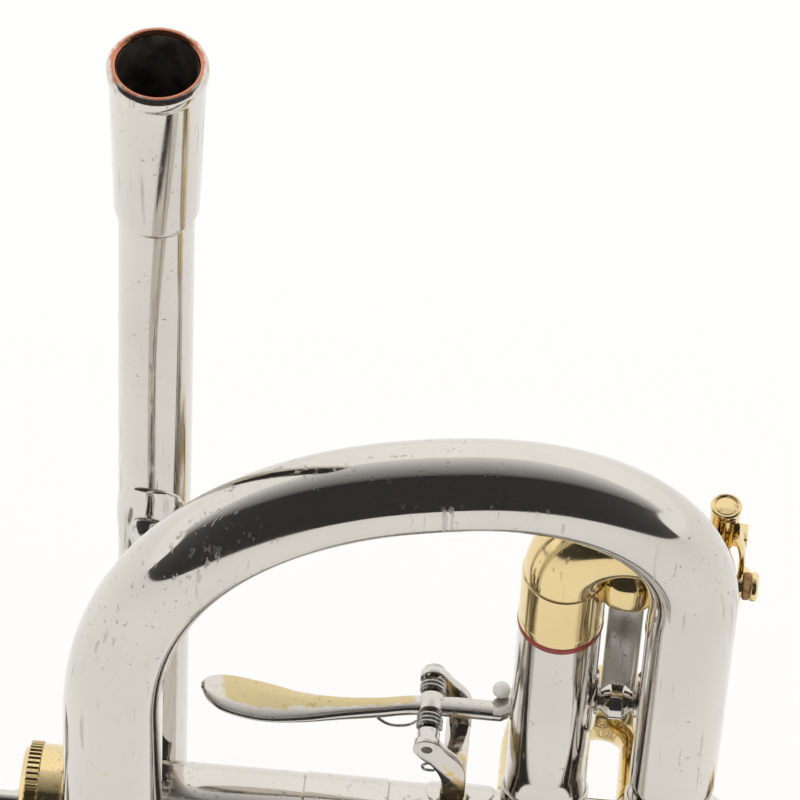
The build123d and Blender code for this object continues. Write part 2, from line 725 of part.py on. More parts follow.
def make_trigger_link():
    """Strap that hangs from the boss in the crook's fork and ends in a slot for the lever."""
    strap = block((link_x - 2.75, link_y - 1.0, -141.6), (link_x + 2.75, link_y + 0.6, -101.0))
    slot = block((link_x - 3.5, link_y - 2, hinge_z - 1.4), (link_x + 1.5, link_y + 2, hinge_z + 1.4))
    parts["trigger_link"] = strap - slot
    boss = Pos(slide_mid_x, slide_y + 1.5, -98.0) * Cylinder(5.2, 10)
    boss = fillet(boss.edges().filter_by(GeomType.CIRCLE).sort_by(Axis.Z)[0], 3.0)
    for leg_x in slide_x:
        boss -= rod((leg_x, slide_y, -120), (leg_x, slide_y, first_sleeve_top_z), sleeve_d)
    boss -= bar_along(first_crook_path(), crook_outer_d)
    boss -= strap
    parts["trigger_link_boss"] = boss.solids().sort_by(SortBy.VOLUME)[-1]


def make_trigger_ball():
    """Nylon bumper at the bend of the lever."""
    ball = Pos(54.6, lever_y + 2.6, hinge_z + 2.2) * Sphere(1.4)
    parts["trigger_ball"] = ball - parts["trigger_lever"]


# Water keys


def make_first_water_key():
    """Key on the first slide's crook: a nipple, a cork in a cup, and a strap on a hinge tube."""
    hinge = (85.6, -2.0)
    low_z = -95.4
    high_z = -88.2
    crook_edge = slide_x[1] + sleeve_d / 2
    nipple_z = -98.5
    nipple = tube((slide_x[1] + 4, -8.0, nipple_z), (crook_edge + 0.8, -8.0, nipple_z), 3.6, 1.8)
    column = rod((slide_x[1], slide_y, -120), (slide_x[1], slide_y, first_sleeve_top_z), sleeve_d)
    nipple -= column
    lugs = []
    for z in (low_z - 1.3, high_z + 0.1):
        lug = rod((hinge[0], hinge[1], z), (hinge[0], hinge[1], z + 1.2), 3.4)
        lug += block((slide_x[1] - 1.0, -5.4, z), (hinge[0], hinge[1] + 0.8, z + 1.2))
        lugs.append(lug)
    solid_bend = bar_along(first_crook_path(), crook_outer_d)
    lugs = [lug - column - solid_bend for lug in lugs]
    pin = rod((hinge[0], hinge[1], low_z - 1.3), (hinge[0], hinge[1], high_z + 1.3), 1.6)
    lugs = [lug - pin for lug in lugs]
    parts["first_key_seat"] = [nipple, *lugs, pin]
    barrel = tube((*hinge, low_z), (*hinge, high_z), 4.4, 1.72)
    strap_arc_r = crook_r + crook_outer_d / 2 + 1.4
    plane = Plane(origin=(slide_mid_x, -6.6, first_sleeve_top_z), x_dir=(1, 0, 0), z_dir=(0, -1, 0))
    ring = plane * (Circle(strap_arc_r + 1.1) - Circle(strap_arc_r))
    strap = extrude(ring, -3.2)
    strap &= block((88.0, -12, first_sleeve_top_z), (120, 0, -60))
    outer_x = slide_mid_x + strap_arc_r
    strap += block((outer_x, -6.6, -106.0), (outer_x + 1.1, -3.4, first_sleeve_top_z))
    cup_x = crook_edge + 1.9
    strap += block((outer_x, -8.6, nipple_z - 1.4), (outer_x + 1.1, -3.4, nipple_z + 1.4))
    cup = rod((cup_x, -8.0, nipple_z), (cup_x + 1.6, -8.0, nipple_z), 5.0)
    web = block((hinge[0], hinge[1] - 1.2, low_z + 1), (outer_x + 1.1, hinge[1] + 1.0, high_z - 1))
    web -= rod((*hinge, low_z), (*hinge, high_z), 4.0)
    joiner = block((outer_x, -3.8, low_z + 1), (outer_x + 1.1, hinge[1] + 1.0, high_z - 1))
    lever = barrel + strap + cup + web + joiner
    parts["first_key_lever"] = lever
    cork = rod((crook_edge + 0.8, -8.0, nipple_z), (cup_x, -8.0, nipple_z), 4.2)
    parts["first_key_cork"] = cork - lever


def export_parts():
    os.makedirs("parts", exist_ok=True)
    for name, shape in parts.items():
        solids = shape if isinstance(shape, list) else [shape]
        children = [solid for item in solids for solid in item.solids()]
        export_step(Compound(children=children), f"parts/{name}.step")


def make_leadpipe_group():
    make_receiver()
    make_leadpipe()
    make_leadpipe_brace()
    make_pinky_hook()


def make_bell_group():
    bell = make_bell()
    parts["bell"] = bell
    parts["bell_rim_wire"] = make_bell_rim() - bell
    make_bow()
    make_tail()
    make_casing_saddles(bell)


def make_valve_group():
    make_valve_casings()
    make_valve_knuckles()
    make_caps()
    make_valve_guides()
    for number in range(3):
        make_piston(number)
        make_valve_top(number)
        make_valve_spring(number)


def make_slide_group():
    make_first_slide()
    make_first_slide_spacer()
    make_second_slide()
    make_third_slide()
    make_tuning_slide()
    make_first_water_key()


def make_trigger_group():
    make_trigger_saddle()
    make_trigger_screw()
    make_trigger_lever()
    make_trigger_springs()
    make_trigger_link()
    make_trigger_ball()


make_leadpipe_group()
make_bell_group()
make_valve_group()
make_slide_group()
make_trigger_group()
export_parts()
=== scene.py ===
import math

import bmesh
import bpy
from mathutils import Matrix, Vector


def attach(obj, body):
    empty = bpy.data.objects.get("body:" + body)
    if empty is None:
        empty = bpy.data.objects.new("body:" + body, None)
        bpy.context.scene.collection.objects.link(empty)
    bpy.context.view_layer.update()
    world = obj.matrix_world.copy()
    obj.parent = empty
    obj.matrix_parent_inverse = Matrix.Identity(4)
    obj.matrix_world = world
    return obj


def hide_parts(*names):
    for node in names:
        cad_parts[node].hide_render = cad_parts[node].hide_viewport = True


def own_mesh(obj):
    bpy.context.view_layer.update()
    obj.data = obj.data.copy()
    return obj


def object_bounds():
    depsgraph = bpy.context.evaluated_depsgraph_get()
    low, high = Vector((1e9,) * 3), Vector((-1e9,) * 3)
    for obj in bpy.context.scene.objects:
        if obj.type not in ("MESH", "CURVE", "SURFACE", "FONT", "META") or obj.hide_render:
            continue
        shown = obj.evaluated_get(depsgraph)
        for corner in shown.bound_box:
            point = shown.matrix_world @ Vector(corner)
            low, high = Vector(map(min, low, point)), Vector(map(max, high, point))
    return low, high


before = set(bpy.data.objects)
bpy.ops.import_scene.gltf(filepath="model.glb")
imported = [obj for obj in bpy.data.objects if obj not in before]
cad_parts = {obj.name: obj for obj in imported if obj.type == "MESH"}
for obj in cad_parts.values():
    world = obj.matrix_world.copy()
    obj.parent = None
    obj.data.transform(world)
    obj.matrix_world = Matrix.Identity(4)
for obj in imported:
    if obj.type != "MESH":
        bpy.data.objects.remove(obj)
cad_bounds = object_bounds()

# Flugelhorn. Lengths are in millimetres and scaled to metres as each mesh is made.
# Same frame as the CAD: origin in the receiver's mouth, +Z up the leadpipe, +X down the valves.
MM = 0.001

# Tubing
LEG_R = 6.35
SLIDE_R = 5.96
SLIDE_BORE_R = 5.55
SLEEVE_R = 6.5
CROOK_R = 6.2
LEADPIPE_R = 5.5
LEADPIPE_BORE_R = 4.7

# Valves
VALVE_Y = -16.0
VALVE_Z = (-162.1, -183.6, -205.1)
CASING_R = 8.8
CASING_BORE_R = 8.32
CASING_WALL_R = 8.42
CASING_TOP_X = -17.1
CASING_END_X = 104.3
BAND_X = (25.4, 38.3)
CAP_R = 9.9
CAP_TOP_X = -18.9
STEM_R = 1.75
BUTTON_X = -37.0

# Bell, bow and tail
BELL_X = -2.3
BELL_Y = -35.6
BELL_RIM_Z = -416.0
BELL_RIM_R = 76.0
RIM_WIRE_R = 1.5
BELL_WALL = 0.7
BELL_JOINT_Z = -172.0
THROAT_R = 7.4
TAIL_X = 81.7
TAIL_Y = -23.9
BOW_THROAT_Z = -106.9
BOW_TAIL_Z = -83.6
BOW_CREST = (47.3, -52.1)
THROAT_FULLNESS = 2.29
TAIL_FULLNESS = 2.08
TAIL_JOINT_Z = -128.0
BOW_WALL = 0.45
TAIL_R = 6.05

# Slides
SLIDE_X = (62.6, 81.9)
SLIDE_Y = -10.0
FIRST_LEG_TOP_Z = -108.6
FIRST_SLEEVE_TOP_Z = -95.6
SPACER_Z = -128.5
SECOND_X = (61.5, 80.8)
FRONT_LEG_Z = -268.0
THIRD_CROOK_Z = -290.0
TUNING_X = 45.0
TUNING_CROOK_Z = -284.0

# Water key
KEY_X = 85.6
KEY_Y = -2.0
KEY_LOW_Z = -95.4
KEY_HIGH_Z = -88.2
KEY_STRAP_Y = -5.0
NIPPLE_Y = -8.0
NIPPLE_Z = -98.5
NIPPLE_X = SLIDE_X[1] + SLEEVE_R
CUP_X = NIPPLE_X + 1.9

# Trigger
HINGE_X = 44.0
HINGE_Z = -138.5
LEVER_Y = -6.9
LINK_X = 72.5
LINK_Y = -1.6


# Mesh tools


class Shape:
    """Vertices and faces gathered for one piece, with a wear value at each vertex."""

    def __init__(self):
        self.bm = bmesh.new()

    def grid(self, rings, close_rings=True, close_path=False):
        """Joins rows of points into quads."""
        rows = [[self.bm.verts.new(Vector(p) * MM) for p in ring] for ring in rings]
        pairs = list(zip(rows, rows[1:]))
        if close_path:
            pairs.append((rows[-1], rows[0]))
        for a, b in pairs:
            count = len(a)
            for i in range(count if close_rings else count - 1):
                j = (i + 1) % count
                self.bm.faces.new((a[i], a[j], b[j], b[i]))
        return rows

    def cap(self, row):
        self.bm.faces.new(row)

    def finish(self, name, material, body, nodes=(), slot="plating", wear=None, sharp=40):
        """Makes the object, lets it ride its body and stand for its CAD nodes."""
        bmesh.ops.remove_doubles(self.bm, verts=self.bm.verts, dist=1e-7)
        bmesh.ops.dissolve_degenerate(self.bm, edges=self.bm.edges, dist=1e-8)
        bmesh.ops.recalc_face_normals(self.bm, faces=self.bm.faces)
        mesh = bpy.data.meshes.new(name)
        self.bm.to_mesh(mesh)
        self.bm.free()
        for polygon in mesh.polygons:
            polygon.use_smooth = True
        mesh.set_sharp_from_angle(angle=math.radians(sharp))
        layer = mesh.attributes.new("wear", "FLOAT", "POINT")
        if wear:
            layer.data.foreach_set("value", [wear(v.co / MM) for v in mesh.vertices])
        mesh.materials.append(material)
        piece = bpy.data.objects.new(name, mesh)
        bpy.context.scene.collection.objects.link(piece)
        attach(piece, body)
        if nodes:
            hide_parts(*nodes)
        return piece


def side_axes(direction):
    """Two unit vectors square to a direction."""
    axis = Vector(direction).normalized()
    guide = Vector((0, 0, 1)) if abs(axis.z) < 0.9 else Vector((1, 0, 0))
    first = guide.cross(axis).normalized()
    return axis, first, axis.cross(first)


def soften(outline, amount, closed=True):
    """Rounds the corners of an outline of (along, radius) points."""
    points = [Vector(p) for p in outline]
    count = len(points)
    result = []
    for i, corner in enumerate(points):
        if not closed and i in (0, count - 1):
            result.append(corner)
            continue
        before = points[i - 1] - corner
        after = points[(i + 1) % count] - corner
        if corner.y < 0.01:
            result.append(corner)
            continue
        reach = min(amount, before.length * 0.45, after.length * 0.45)
        a = corner + before.normalized() * reach
        b = corner + after.normalized() * reach
        for step in range(5):
            t = step / 4
            result.append(a * (1 - t) ** 2 + corner * 2 * t * (1 - t) + b * t * t)
    return [(p.x, p.y) for p in result]


def tube_outline(start, end, bore, radius):
    """Outline of a plain tube for turned(), or of a rod where the bore is 0."""
    return [(start, bore), (start, radius), (end, radius), (end, bore)]


def turned(shape, outline, origin, direction, soft=0.25, segments=96, closed=True, flute=None):
    """Turned form. The outline runs round a section, as (distance along the axis, radius)."""
    axis, first, second = side_axes(direction)
    rings = []
    for along, radius in soften(outline, soft, closed):
        ring = []
        for k in range(segments):
            angle = 2 * math.pi * k / segments
            r = flute(along, radius, k) if flute else radius
            ring.append(
                Vector(origin) + axis * along + (first * math.cos(angle) + second * math.sin(angle)) * r
            )
        rings.append(ring)
    shape.grid(rings, close_path=closed)


def arc(centre, a, b, start, end, steps):
    """Points on an arc about a centre, from start to end degrees, where a and b are its radius vectors."""
    result = []
    for k in range(steps + 1):
        angle = math.radians(start + (end - start) * k / steps)
        result.append(Vector(centre) + Vector(a) * math.cos(angle) + Vector(b) * math.sin(angle))
    return result


def filleted(corners, radius, steps=16):
    """Route through corners with each inner corner rounded by an arc."""
    points = [Vector(c) for c in corners]
    route = [points[0]]
    for before, corner, after in zip(points, points[1:], points[2:]):
        to_before = (before - corner).normalized()
        to_after = (after - corner).normalized()
        half = to_before.angle(to_after) / 2
        reach = radius / math.tan(half)
        centre = corner + (to_before + to_after).normalized() * radius / math.sin(half)
        start = corner + to_before * reach - centre
        end = corner + to_after * reach - centre
        turn = start.angle(end)
        square = (end - start * math.cos(turn)) / math.sin(turn)
        route += [
            centre + start * math.cos(turn * k / steps) + square * math.sin(turn * k / steps)
            for k in range(steps + 1)
        ]
    route.append(points[-1])
    return route


def frames(path):
    """Ring axes carried along a path without twist."""
    tangents = []
    for k in range(len(path)):
        before = path[max(k - 1, 0)]
        after = path[min(k + 1, len(path) - 1)]
        tangents.append((after - before).normalized())
    first = side_axes(tangents[0])[1]
    result = []
    for tangent in tangents:
        first = (first - tangent * first.dot(tangent)).normalized()
        result.append((first, tangent.cross(first)))
    return result


def ring_at(centre, axes, radius, segments):
    """Circle of points about a centre, in the plane of two axes."""
    first, second = axes
    ring = []
    for k in range(segments):
        angle = 2 * math.pi * k / segments
        ring.append(centre + (first * math.cos(angle) + second * math.sin(angle)) * radius)
    return ring


def rounded_square(value, power):
    """Cosine or sine pushed outwards, which makes an oval section squarer."""
    return math.copysign(abs(value) ** power, value)


def pipe(shape, path, radius, bore, segments=72):
    """Pipe along a path. Radius and bore are numbers, or functions of the share of the path's points."""
    path = [Vector(p) for p in path]
    outer = radius if callable(radius) else lambda t: radius
    inner = bore if callable(bore) else lambda t: bore
    axes = frames(path)
    last = len(path) - 1
    rim = 0.12
    rings = []
    for k, (point, pair) in enumerate(zip(path, axes)):
        cut = rim if k in (0, last) else 0
        rings.append(ring_at(point, pair, outer(k / last) - cut, segments))
        if k == 0:
            step = (path[1] - path[0]).normalized() * rim
            rings.append(ring_at(point + step, pair, outer(0), segments))
        if k == last - 1:
            step = (path[-1] - path[-2]).normalized() * rim
            rings.append(ring_at(path[-1] - step, axes[-1], outer(1), segments))
    for k in range(last, -1, -1):
        rings.append(ring_at(path[k], axes[k], inner(k / last), segments))
    shape.grid(rings, close_path=True)


def wire(shape, path, radius, segments=20):
    """Round wire with domed ends."""
    path = [Vector(p) for p in path]
    axes = frames(path)
    steps = 5

    def dome(centre, pair, out, k):
        angle = math.pi / 2 * k / steps
        middle = centre + out * radius * math.cos(angle) * 0.6
        return ring_at(middle, pair, radius * max(math.sin(angle), 0.02), segments)

    start = (path[0] - path[1]).normalized()
    end = (path[-1] - path[-2]).normalized()
    rings = [dome(path[0], axes[0], start, k) for k in range(steps)]
    rings += [ring_at(p, pair, radius, segments) for p, pair in zip(path, axes)]
    rings += [dome(path[-1], axes[-1], end, k) for k in range(steps - 1, -1, -1)]
    rows = shape.grid(rings)
    shape.cap(rows[0])
    shape.cap(rows[-1])


def foot(shape, centre, axis, side, pipe_r, length, width, thickness=0.55):
    """Oval plate wrapped on a pipe, with a rounded edge."""
    axis = Vector(axis).normalized()
    side = (Vector(side) - axis * Vector(side).dot(axis)).normalized()
    across = axis.cross(side)
    profile = (
        (0, 1), (0.5, 1), (0.8, 0.98), (0.93, 0.85), (0.98, 0.55), (1, 0), (1, -0.1), (0.5, -0.1), (0, -0.1)
    )
    rings = []
    for share, height in profile:
        ring = []
        for k in range(64):
            angle = 2 * math.pi * k / 64
            along = length / 2 * share * math.cos(angle)
            turn = width / 2 * share * math.sin(angle) / pipe_r
            radius = pipe_r + thickness * height
            ring.append(
                Vector(centre) + axis * along + (side * math.cos(turn) + across * math.sin(turn)) * radius
            )
        rings.append(ring)
    shape.grid(rings)


def slab(shape, outline, low, high, place, edge=0.2):
    """Flat plate with rounded edges.

    The outline is in the plate's plane, and place maps (u, v, w) to the frame.
    """
    made = bmesh.new()
    bottom = [made.verts.new(place(u, v, low)) for u, v in outline]
    top = [made.verts.new(place(u, v, high)) for u, v in outline]
    made.faces.new(bottom)
    made.faces.new(top)
    count = len(outline)
    for i in range(count):
        j = (i + 1) % count
        made.faces.new((bottom[i], bottom[j], top[j], top[i]))
    bmesh.ops.recalc_face_normals(made, faces=made.faces)
    bmesh.ops.bevel(
        made, geom=list(made.edges), offset=edge, segments=3, profile=0.5, affect="EDGES", clamp_overlap=True
    )
    add(shape, made)


def add(shape, made):
    """Adds a mesh in millimetres to a shape."""
    mesh = bpy.data.meshes.new("part")
    made.to_mesh(mesh)
    made.free()
    mesh.transform(Matrix.Scale(MM, 4))
    shape.bm.from_mesh(mesh)
    bpy.data.meshes.remove(mesh)


def blob(shape, centre, radii, power=1.0, segments=32):
    """Smooth closed form with a radius along each axis, squarer as power falls below 1."""
    rings = []
    for i in range(segments // 2 + 1):
        lat = math.pi * (i / (segments // 2) - 0.5)
        ring = []
        for k in range(segments):
            lon = 2 * math.pi * k / segments
            x = math.copysign(abs(math.cos(lat) * math.cos(lon)) ** power, math.cos(lon))
            y = math.copysign(abs(math.cos(lat) * math.sin(lon)) ** power, math.sin(lon))
            z = math.copysign(abs(math.sin(lat)) ** power, math.sin(lat))
            ring.append(Vector(centre) + Vector((x * radii[0], y * radii[1], z * radii[2])))
        rings.append(ring)
    shape.grid(rings)


def stop_at_casings(shape, numbers=(0, 1, 2)):
    """Pulls whatever reaches into a casing's bore back into the casing's wall."""
    for vertex in shape.bm.verts:
        for number in numbers:
            across = Vector((0, vertex.co.y / MM - VALVE_Y, vertex.co.z / MM - VALVE_Z[number]))
            if 0.01 < across.length < CASING_WALL_R:
                out = across.normalized() * CASING_WALL_R
                vertex.co.y = (VALVE_Y + out.y) * MM
                vertex.co.z = (VALVE_Z[number] + out.z) * MM


# Materials


def nodes_of(name):
    material = bpy.data.materials.new(name)
    material.use_nodes = True
    tree = material.node_tree
    return material, tree, tree.nodes["Principled BSDF"]


def noise(tree, scale, detail=3.0, stretch=(1, 1, 1), turn=(0, 0, 0), shift=0.0):
    """Noise value in the object's own space, in which one unit is a metre."""
    place = tree.nodes.new("ShaderNodeTexCoord")
    mapping = tree.nodes.new("ShaderNodeMapping")
    mapping.inputs["Scale"].default_value = stretch
    mapping.inputs["Rotation"].default_value = [math.radians(a) for a in turn]
    mapping.inputs["Location"].default_value = (shift, shift, shift)
    tree.links.new(place.outputs["Object"], mapping.inputs["Vector"])
    texture = tree.nodes.new("ShaderNodeTexNoise")
    texture.inputs["Scale"].default_value = scale
    texture.inputs["Detail"].default_value = detail
    tree.links.new(mapping.outputs["Vector"], texture.inputs["Vector"])
    return texture.outputs["Fac"]


def ramp(tree, value, stops):
    """Colour ramp over (position, grey or colour) stops."""
    node = tree.nodes.new("ShaderNodeValToRGB")
    elements = node.color_ramp.elements
    while len(elements) < len(stops):
        elements.new(0.5)
    for element, (position, colour) in zip(elements, stops):
        element.position = position
        element.color = (*colour, 1) if isinstance(colour, tuple) else (colour, colour, colour, 1)
    tree.links.new(value, node.inputs["Fac"])
    return node.outputs["Color"]


def combine(tree, operation, a, b):
    node = tree.nodes.new("ShaderNodeMath")
    node.operation = operation
    node.use_clamp = True
    for value, socket in ((a, node.inputs[0]), (b, node.inputs[1])):
        if isinstance(value, (int, float)):
            socket.default_value = value
        else:
            tree.links.new(value, socket)
    return node.outputs[0]


def mix(tree, factor, a, b):
    """Mixes two colours, each a tuple or a socket."""
    node = tree.nodes.new("ShaderNodeMix")
    node.data_type = "RGBA"
    tree.links.new(factor, node.inputs["Factor"])
    for value, socket in ((a, node.inputs["A"]), (b, node.inputs["B"])):
        if isinstance(value, tuple):
            socket.default_value = (*value, 1)
        else:
            tree.links.new(value, socket)
    return node.outputs["Result"]


def scratches(tree, amount):
    """Hairline scratches in several directions, as a mask."""
    total = None
    threshold = 0.69 - 0.03 * amount
    directions = (((0, 20, 10), 0.0), ((40, 75, 0), 3.1), ((80, 10, 60), 7.7), ((15, 50, 130), 12.3))
    for turn, shift in directions:
        fine = noise(tree, 900, 2.0, (1.0, 1.0, 0.03), turn, shift)
        patch = noise(tree, 70, 1.0, (1, 1, 1), turn, shift + 2)
        line = ramp(tree, fine, [(threshold, 0.0), (threshold + 0.025, 1.0)])
        gate = ramp(tree, patch, [(0.5, 0.0), (0.62, 1.0)])
        mask = combine(tree, "MULTIPLY", line, gate)
        total = mask if total is None else combine(tree, "MAXIMUM", total, mask)
    return total


def bump(tree, shader, height, distance, strength):
    node = tree.nodes.new("ShaderNodeBump")
    node.inputs["Strength"].default_value = strength
    node.inputs["Distance"].default_value = distance
    tree.links.new(height, node.inputs["Height"])
    tree.links.new(node.outputs["Normal"], shader.inputs["Normal"])


def plated(name, base, worn, amount=1.0, rough=0.07, cloud=0.93):
    """Polished metal with clouding, pits, scratches, and the wear attribute showing the metal below."""
    material, tree, shader = nodes_of(name)
    shader.inputs["Metallic"].default_value = 1.0
    lines = scratches(tree, amount)
    cloudy = ramp(tree, noise(tree, 45, 4.0), [(0.35, cloud), (0.65, 1.0)])
    pits = ramp(tree, noise(tree, 1300, 3.0), [(0.66, 0.0), (0.72, 1.0)])
    gate = ramp(tree, noise(tree, 60, 2.0, shift=5.0), [(0.48, 0.0), (0.6, 1.0)])
    pits = combine(tree, "MULTIPLY", pits, gate)
    wear = tree.nodes.new("ShaderNodeAttribute")
    wear.attribute_name = "wear"
    ragged = combine(tree, "ADD", wear.outputs["Fac"], combine(tree, "MULTIPLY", noise(tree, 700, 5.0), 0.8))
    worn_mask = ramp(tree, ragged, [(0.84, 0.0), (1.0, 1.0)])
    tint = tree.nodes.new("ShaderNodeMix")
    tint.data_type = "RGBA"
    tint.blend_type = "MULTIPLY"
    tint.inputs["Factor"].default_value = 1.0
    tint.inputs["A"].default_value = (*base, 1)
    tree.links.new(cloudy, tint.inputs["B"])
    colour = mix(
        tree, combine(tree, "MULTIPLY", lines, 0.35), tint.outputs["Result"], tuple(c * 0.45 for c in base)
    )
    colour = mix(tree, combine(tree, "MULTIPLY", pits, 0.75), colour, (0.10, 0.085, 0.07))
    colour = mix(tree, worn_mask, colour, worn)
    tree.links.new(colour, shader.inputs["Base Color"])
    smear = ramp(tree, noise(tree, 90, 4.0, shift=9.0), [(0.3, rough * 0.7), (0.7, rough * 1.8)])
    roughness = combine(tree, "ADD", smear, combine(tree, "MULTIPLY", lines, 0.25))
    roughness = combine(tree, "ADD", roughness, combine(tree, "MULTIPLY", worn_mask, 0.12))
    tree.links.new(roughness, shader.inputs["Roughness"])
    height = combine(
        tree, "SUBTRACT", 0.6, combine(tree, "MULTIPLY", combine(tree, "MAXIMUM", lines, pits), 0.5)
    )
    ripple = combine(tree, "MULTIPLY", noise(tree, 120, 2.0, shift=4.0), 0.3)
    bump(tree, shader, combine(tree, "ADD", height, ripple), 0.00005, 0.5)
    return material


def simple(name, colour, dark, scale, roughness, depth=0.0001, metallic=0.0, sheen=0.0):
    """Non-plated surface with mottled colour, uneven gloss and a fine grain."""
    material, tree, shader = nodes_of(name)
    shader.inputs["Metallic"].default_value = metallic
    shader.inputs["Sheen Weight"].default_value = sheen
    grain = noise(tree, scale, 6.0)
    colour = mix(tree, ramp(tree, grain, [(0.35, 0.0), (0.65, 1.0)]), dark, colour)
    tree.links.new(colour, shader.inputs["Base Color"])
    gloss = ramp(
        tree, noise(tree, scale * 0.4, 3.0, shift=2.0),
        [(0.3, roughness * 0.8), (0.7, min(roughness * 1.25, 1.0))],
    )
    tree.links.new(gloss, shader.inputs["Roughness"])
    bump(tree, shader, grain, depth, 0.5)
    return material


def coil_steel(name):
    """Drawn wire with fine die marks."""
    material, tree, shader = nodes_of(name)
    shader.inputs["Metallic"].default_value = 1.0
    marks = noise(tree, 1500, 3.0)
    colour = mix(tree, ramp(tree, marks, [(0.3, 0.0), (0.7, 1.0)]), (0.36, 0.35, 0.33), (0.66, 0.64, 0.60))
    tree.links.new(colour, shader.inputs["Base Color"])
    tree.links.new(ramp(tree, marks, [(0.3, 0.16), (0.7, 0.32)]), shader.inputs["Roughness"])
    bump(tree, shader, marks, 0.00004, 0.4)
    return material


NICKEL_BASE = (0.70, 0.665, 0.61)
BRASS_BASE = (0.84, 0.66, 0.34)
NICKEL = plated("nickel_plate", NICKEL_BASE, (0.72, 0.52, 0.22))
RECEIVER = plated("receiver_plate", NICKEL_BASE, (0.62, 0.25, 0.15), 1.3)
NICKEL_DULL = plated("dull_plate", (0.62, 0.59, 0.54), (0.60, 0.47, 0.24), 1.6, 0.26, 0.85)
BRASS = plated("lacquered_brass", BRASS_BASE, (0.45, 0.28, 0.10), 0.6, 0.08, 0.9)
GOLD_WORN = plated("worn_lever_plate", NICKEL_BASE, (0.66, 0.54, 0.30), 1.2, 0.14)
PISTON = plated("honed_piston", (0.62, 0.60, 0.56), (0.5, 0.4, 0.2), 1.5, 0.2)
# Dark oxide: real tarnish in the receiver's bore, and also painted shade in the trigger's screw hole, where a
# dark disc stands for the hole.
OXIDE_AND_HOLE_SHADE = simple("bore_oxide_and_hole_shade", (0.21, 0.19, 0.16), (0.07, 0.06, 0.05), 300, 0.45, metallic=0.7)
RUBBER = simple("red_rubber", (0.33, 0.035, 0.025), (0.20, 0.02, 0.015), 900, 0.42)
FELT = simple("felt", (0.72, 0.69, 0.60), (0.52, 0.49, 0.42), 2600, 0.95, 0.0003, sheen=0.5)
PEARL = simple("pearl", (0.86, 0.85, 0.80), (0.62, 0.66, 0.64), 160, 0.12, 0.00001)
CORK = simple("cork", (0.42, 0.26, 0.13), (0.20, 0.11, 0.05), 1400, 0.85, 0.0003)
NYLON = simple("nylon", (0.80, 0.79, 0.74), (0.68, 0.67, 0.62), 500, 0.3)
STEEL = coil_steel("spring_steel")


# Leadpipe side


def spot(point, centre, radius):
    """Soft mask that is 1 at a centre and 0 beyond a radius."""
    return max(0.0, 1 - (point - Vector(centre)).length / radius)


def make_receiver():
    lip, pipe_r = 7.2, LEADPIPE_R
    shape = Shape()
    outline = [
        (-8.9, 5.72), (-0.5, 5.74), (-0.03, 6.15), (-0.15, 6.75), (-0.75, lip - 0.03), (-1.5, lip),
        (-2.3, lip - 0.08), (-2.9, 6.85), (-30.6, 6.15), (-31.5, pipe_r + 0.25), (-31.5, pipe_r + 0.02),
        (-24.2, pipe_r + 0.02), (-24.2, 5.27),
    ]
    turned(shape, outline, (0, 0, 0), (0, 0, 1), 0.4, 128)

    def wear(p):
        face = max(0.0, 1 - abs(math.hypot(p.x, p.y) - 6.0) / 0.75)
        inner = 0.9 if p.z > -1.2 and math.hypot(p.x, p.y) < 5.95 else 0.0
        return max(inner, 0.42 + 0.45 * face if p.z > -0.6 else 0.36 if p.z > -2.6 else 0.0)

    shape.finish("receiver", RECEIVER, "horn", ["mouthpiece_receiver"], wear=wear)
    bore = Shape()
    turned(
        bore, [(-23.5, 4.9), (-8.9, 5.69), (-0.75, 5.69), (-0.75, 5.74), (-8.9, 5.74), (-23.5, 4.95)],
        (0, 0, 0), (0, 0, 1), 0.05, 96,
    )
    bore.finish("receiver_bore_stain", OXIDE_AND_HOLE_SHADE, "horn", sharp=60)


def make_leadpipe():
    shape = Shape()
    path = [(0, 0, -24.05 - 6.0 * k) for k in range(33)] + [(0, 0, -225.95)]
    pipe(shape, path, LEADPIPE_R - 0.01, LEADPIPE_BORE_R, 96)
    shape.finish(
        "leadpipe_tube", NICKEL, "horn", ["leadpipe"], wear=lambda p: 0.35 * spot(p, (0, -5.5, -98), 14)
    )


def make_brace():
    z = -101.0
    start = Vector((0, 0, z))
    end = Vector((BELL_X, BELL_Y, z))
    run = (end - start).normalized()
    length = (end - start).length
    first, last = LEADPIPE_R + 0.2, length - THROAT_R - 0.2
    middle = (first + last) / 2
    shape = Shape()
    outline = [
        (first, 0), (first, 2.9), (first + 0.7, 2.6), (first + 2.2, 1.5), (middle - 4.0, 1.25),
        (middle - 2.6, 1.8), (middle - 2.0, 1.5), (middle - 1.1, 2.4), (middle, 2.68), (middle + 1.1, 2.4),
        (middle + 2.0, 1.5), (middle + 2.6, 1.8), (middle + 4.0, 1.25), (last - 2.2, 1.5),
        (last - 0.7, 2.6), (last, 2.9), (last, 0),
    ]
    turned(shape, outline, start, run, 0.5, 64)
    foot(shape, start, (0, 0, 1), run, LEADPIPE_R, 19.9, 12.9, 0.5)
    foot(shape, end, (0, 0, 1), -run, THROAT_R, 19.9, 13.9, 0.5)
    shape.finish(
        "leadpipe_brace_post", NICKEL, "horn", ["leadpipe_brace"],
        wear=lambda p: 0.5 * spot(p, (0, -4.0, -110), 5),
    )


def make_pinky_hook():
    hook_r, wire_r, z = 9.5, 1.78, -194.0
    centre = Vector((-LEADPIPE_R - hook_r - wire_r - 0.3, 0, z))
    shape = Shape()
    wire(shape, arc(centre, (hook_r, 0, 0), (0, 0, hook_r), -70, 145, 60), wire_r, 32)
    wire(shape, [centre + Vector((hook_r, 0, 0)), centre + Vector((hook_r + 1.6, 0, 0))], wire_r, 32)
    foot(shape, (0, 0, z), (0, 0, 1), (-1, 0, 0), LEADPIPE_R, 13.9, 8.9, 0.5)
    shape.finish("finger_hook", NICKEL, "horn", ["pinky_hook"])


# Bell, bow and tail


def bell_r(distance):
    n = distance / 38.0
    base = THROAT_R - 0.25
    return base + (BELL_RIM_R - RIM_WIRE_R - base) / (1 + 0.9 * n + 0.11 * n**2 + 0.00085 * n**6)


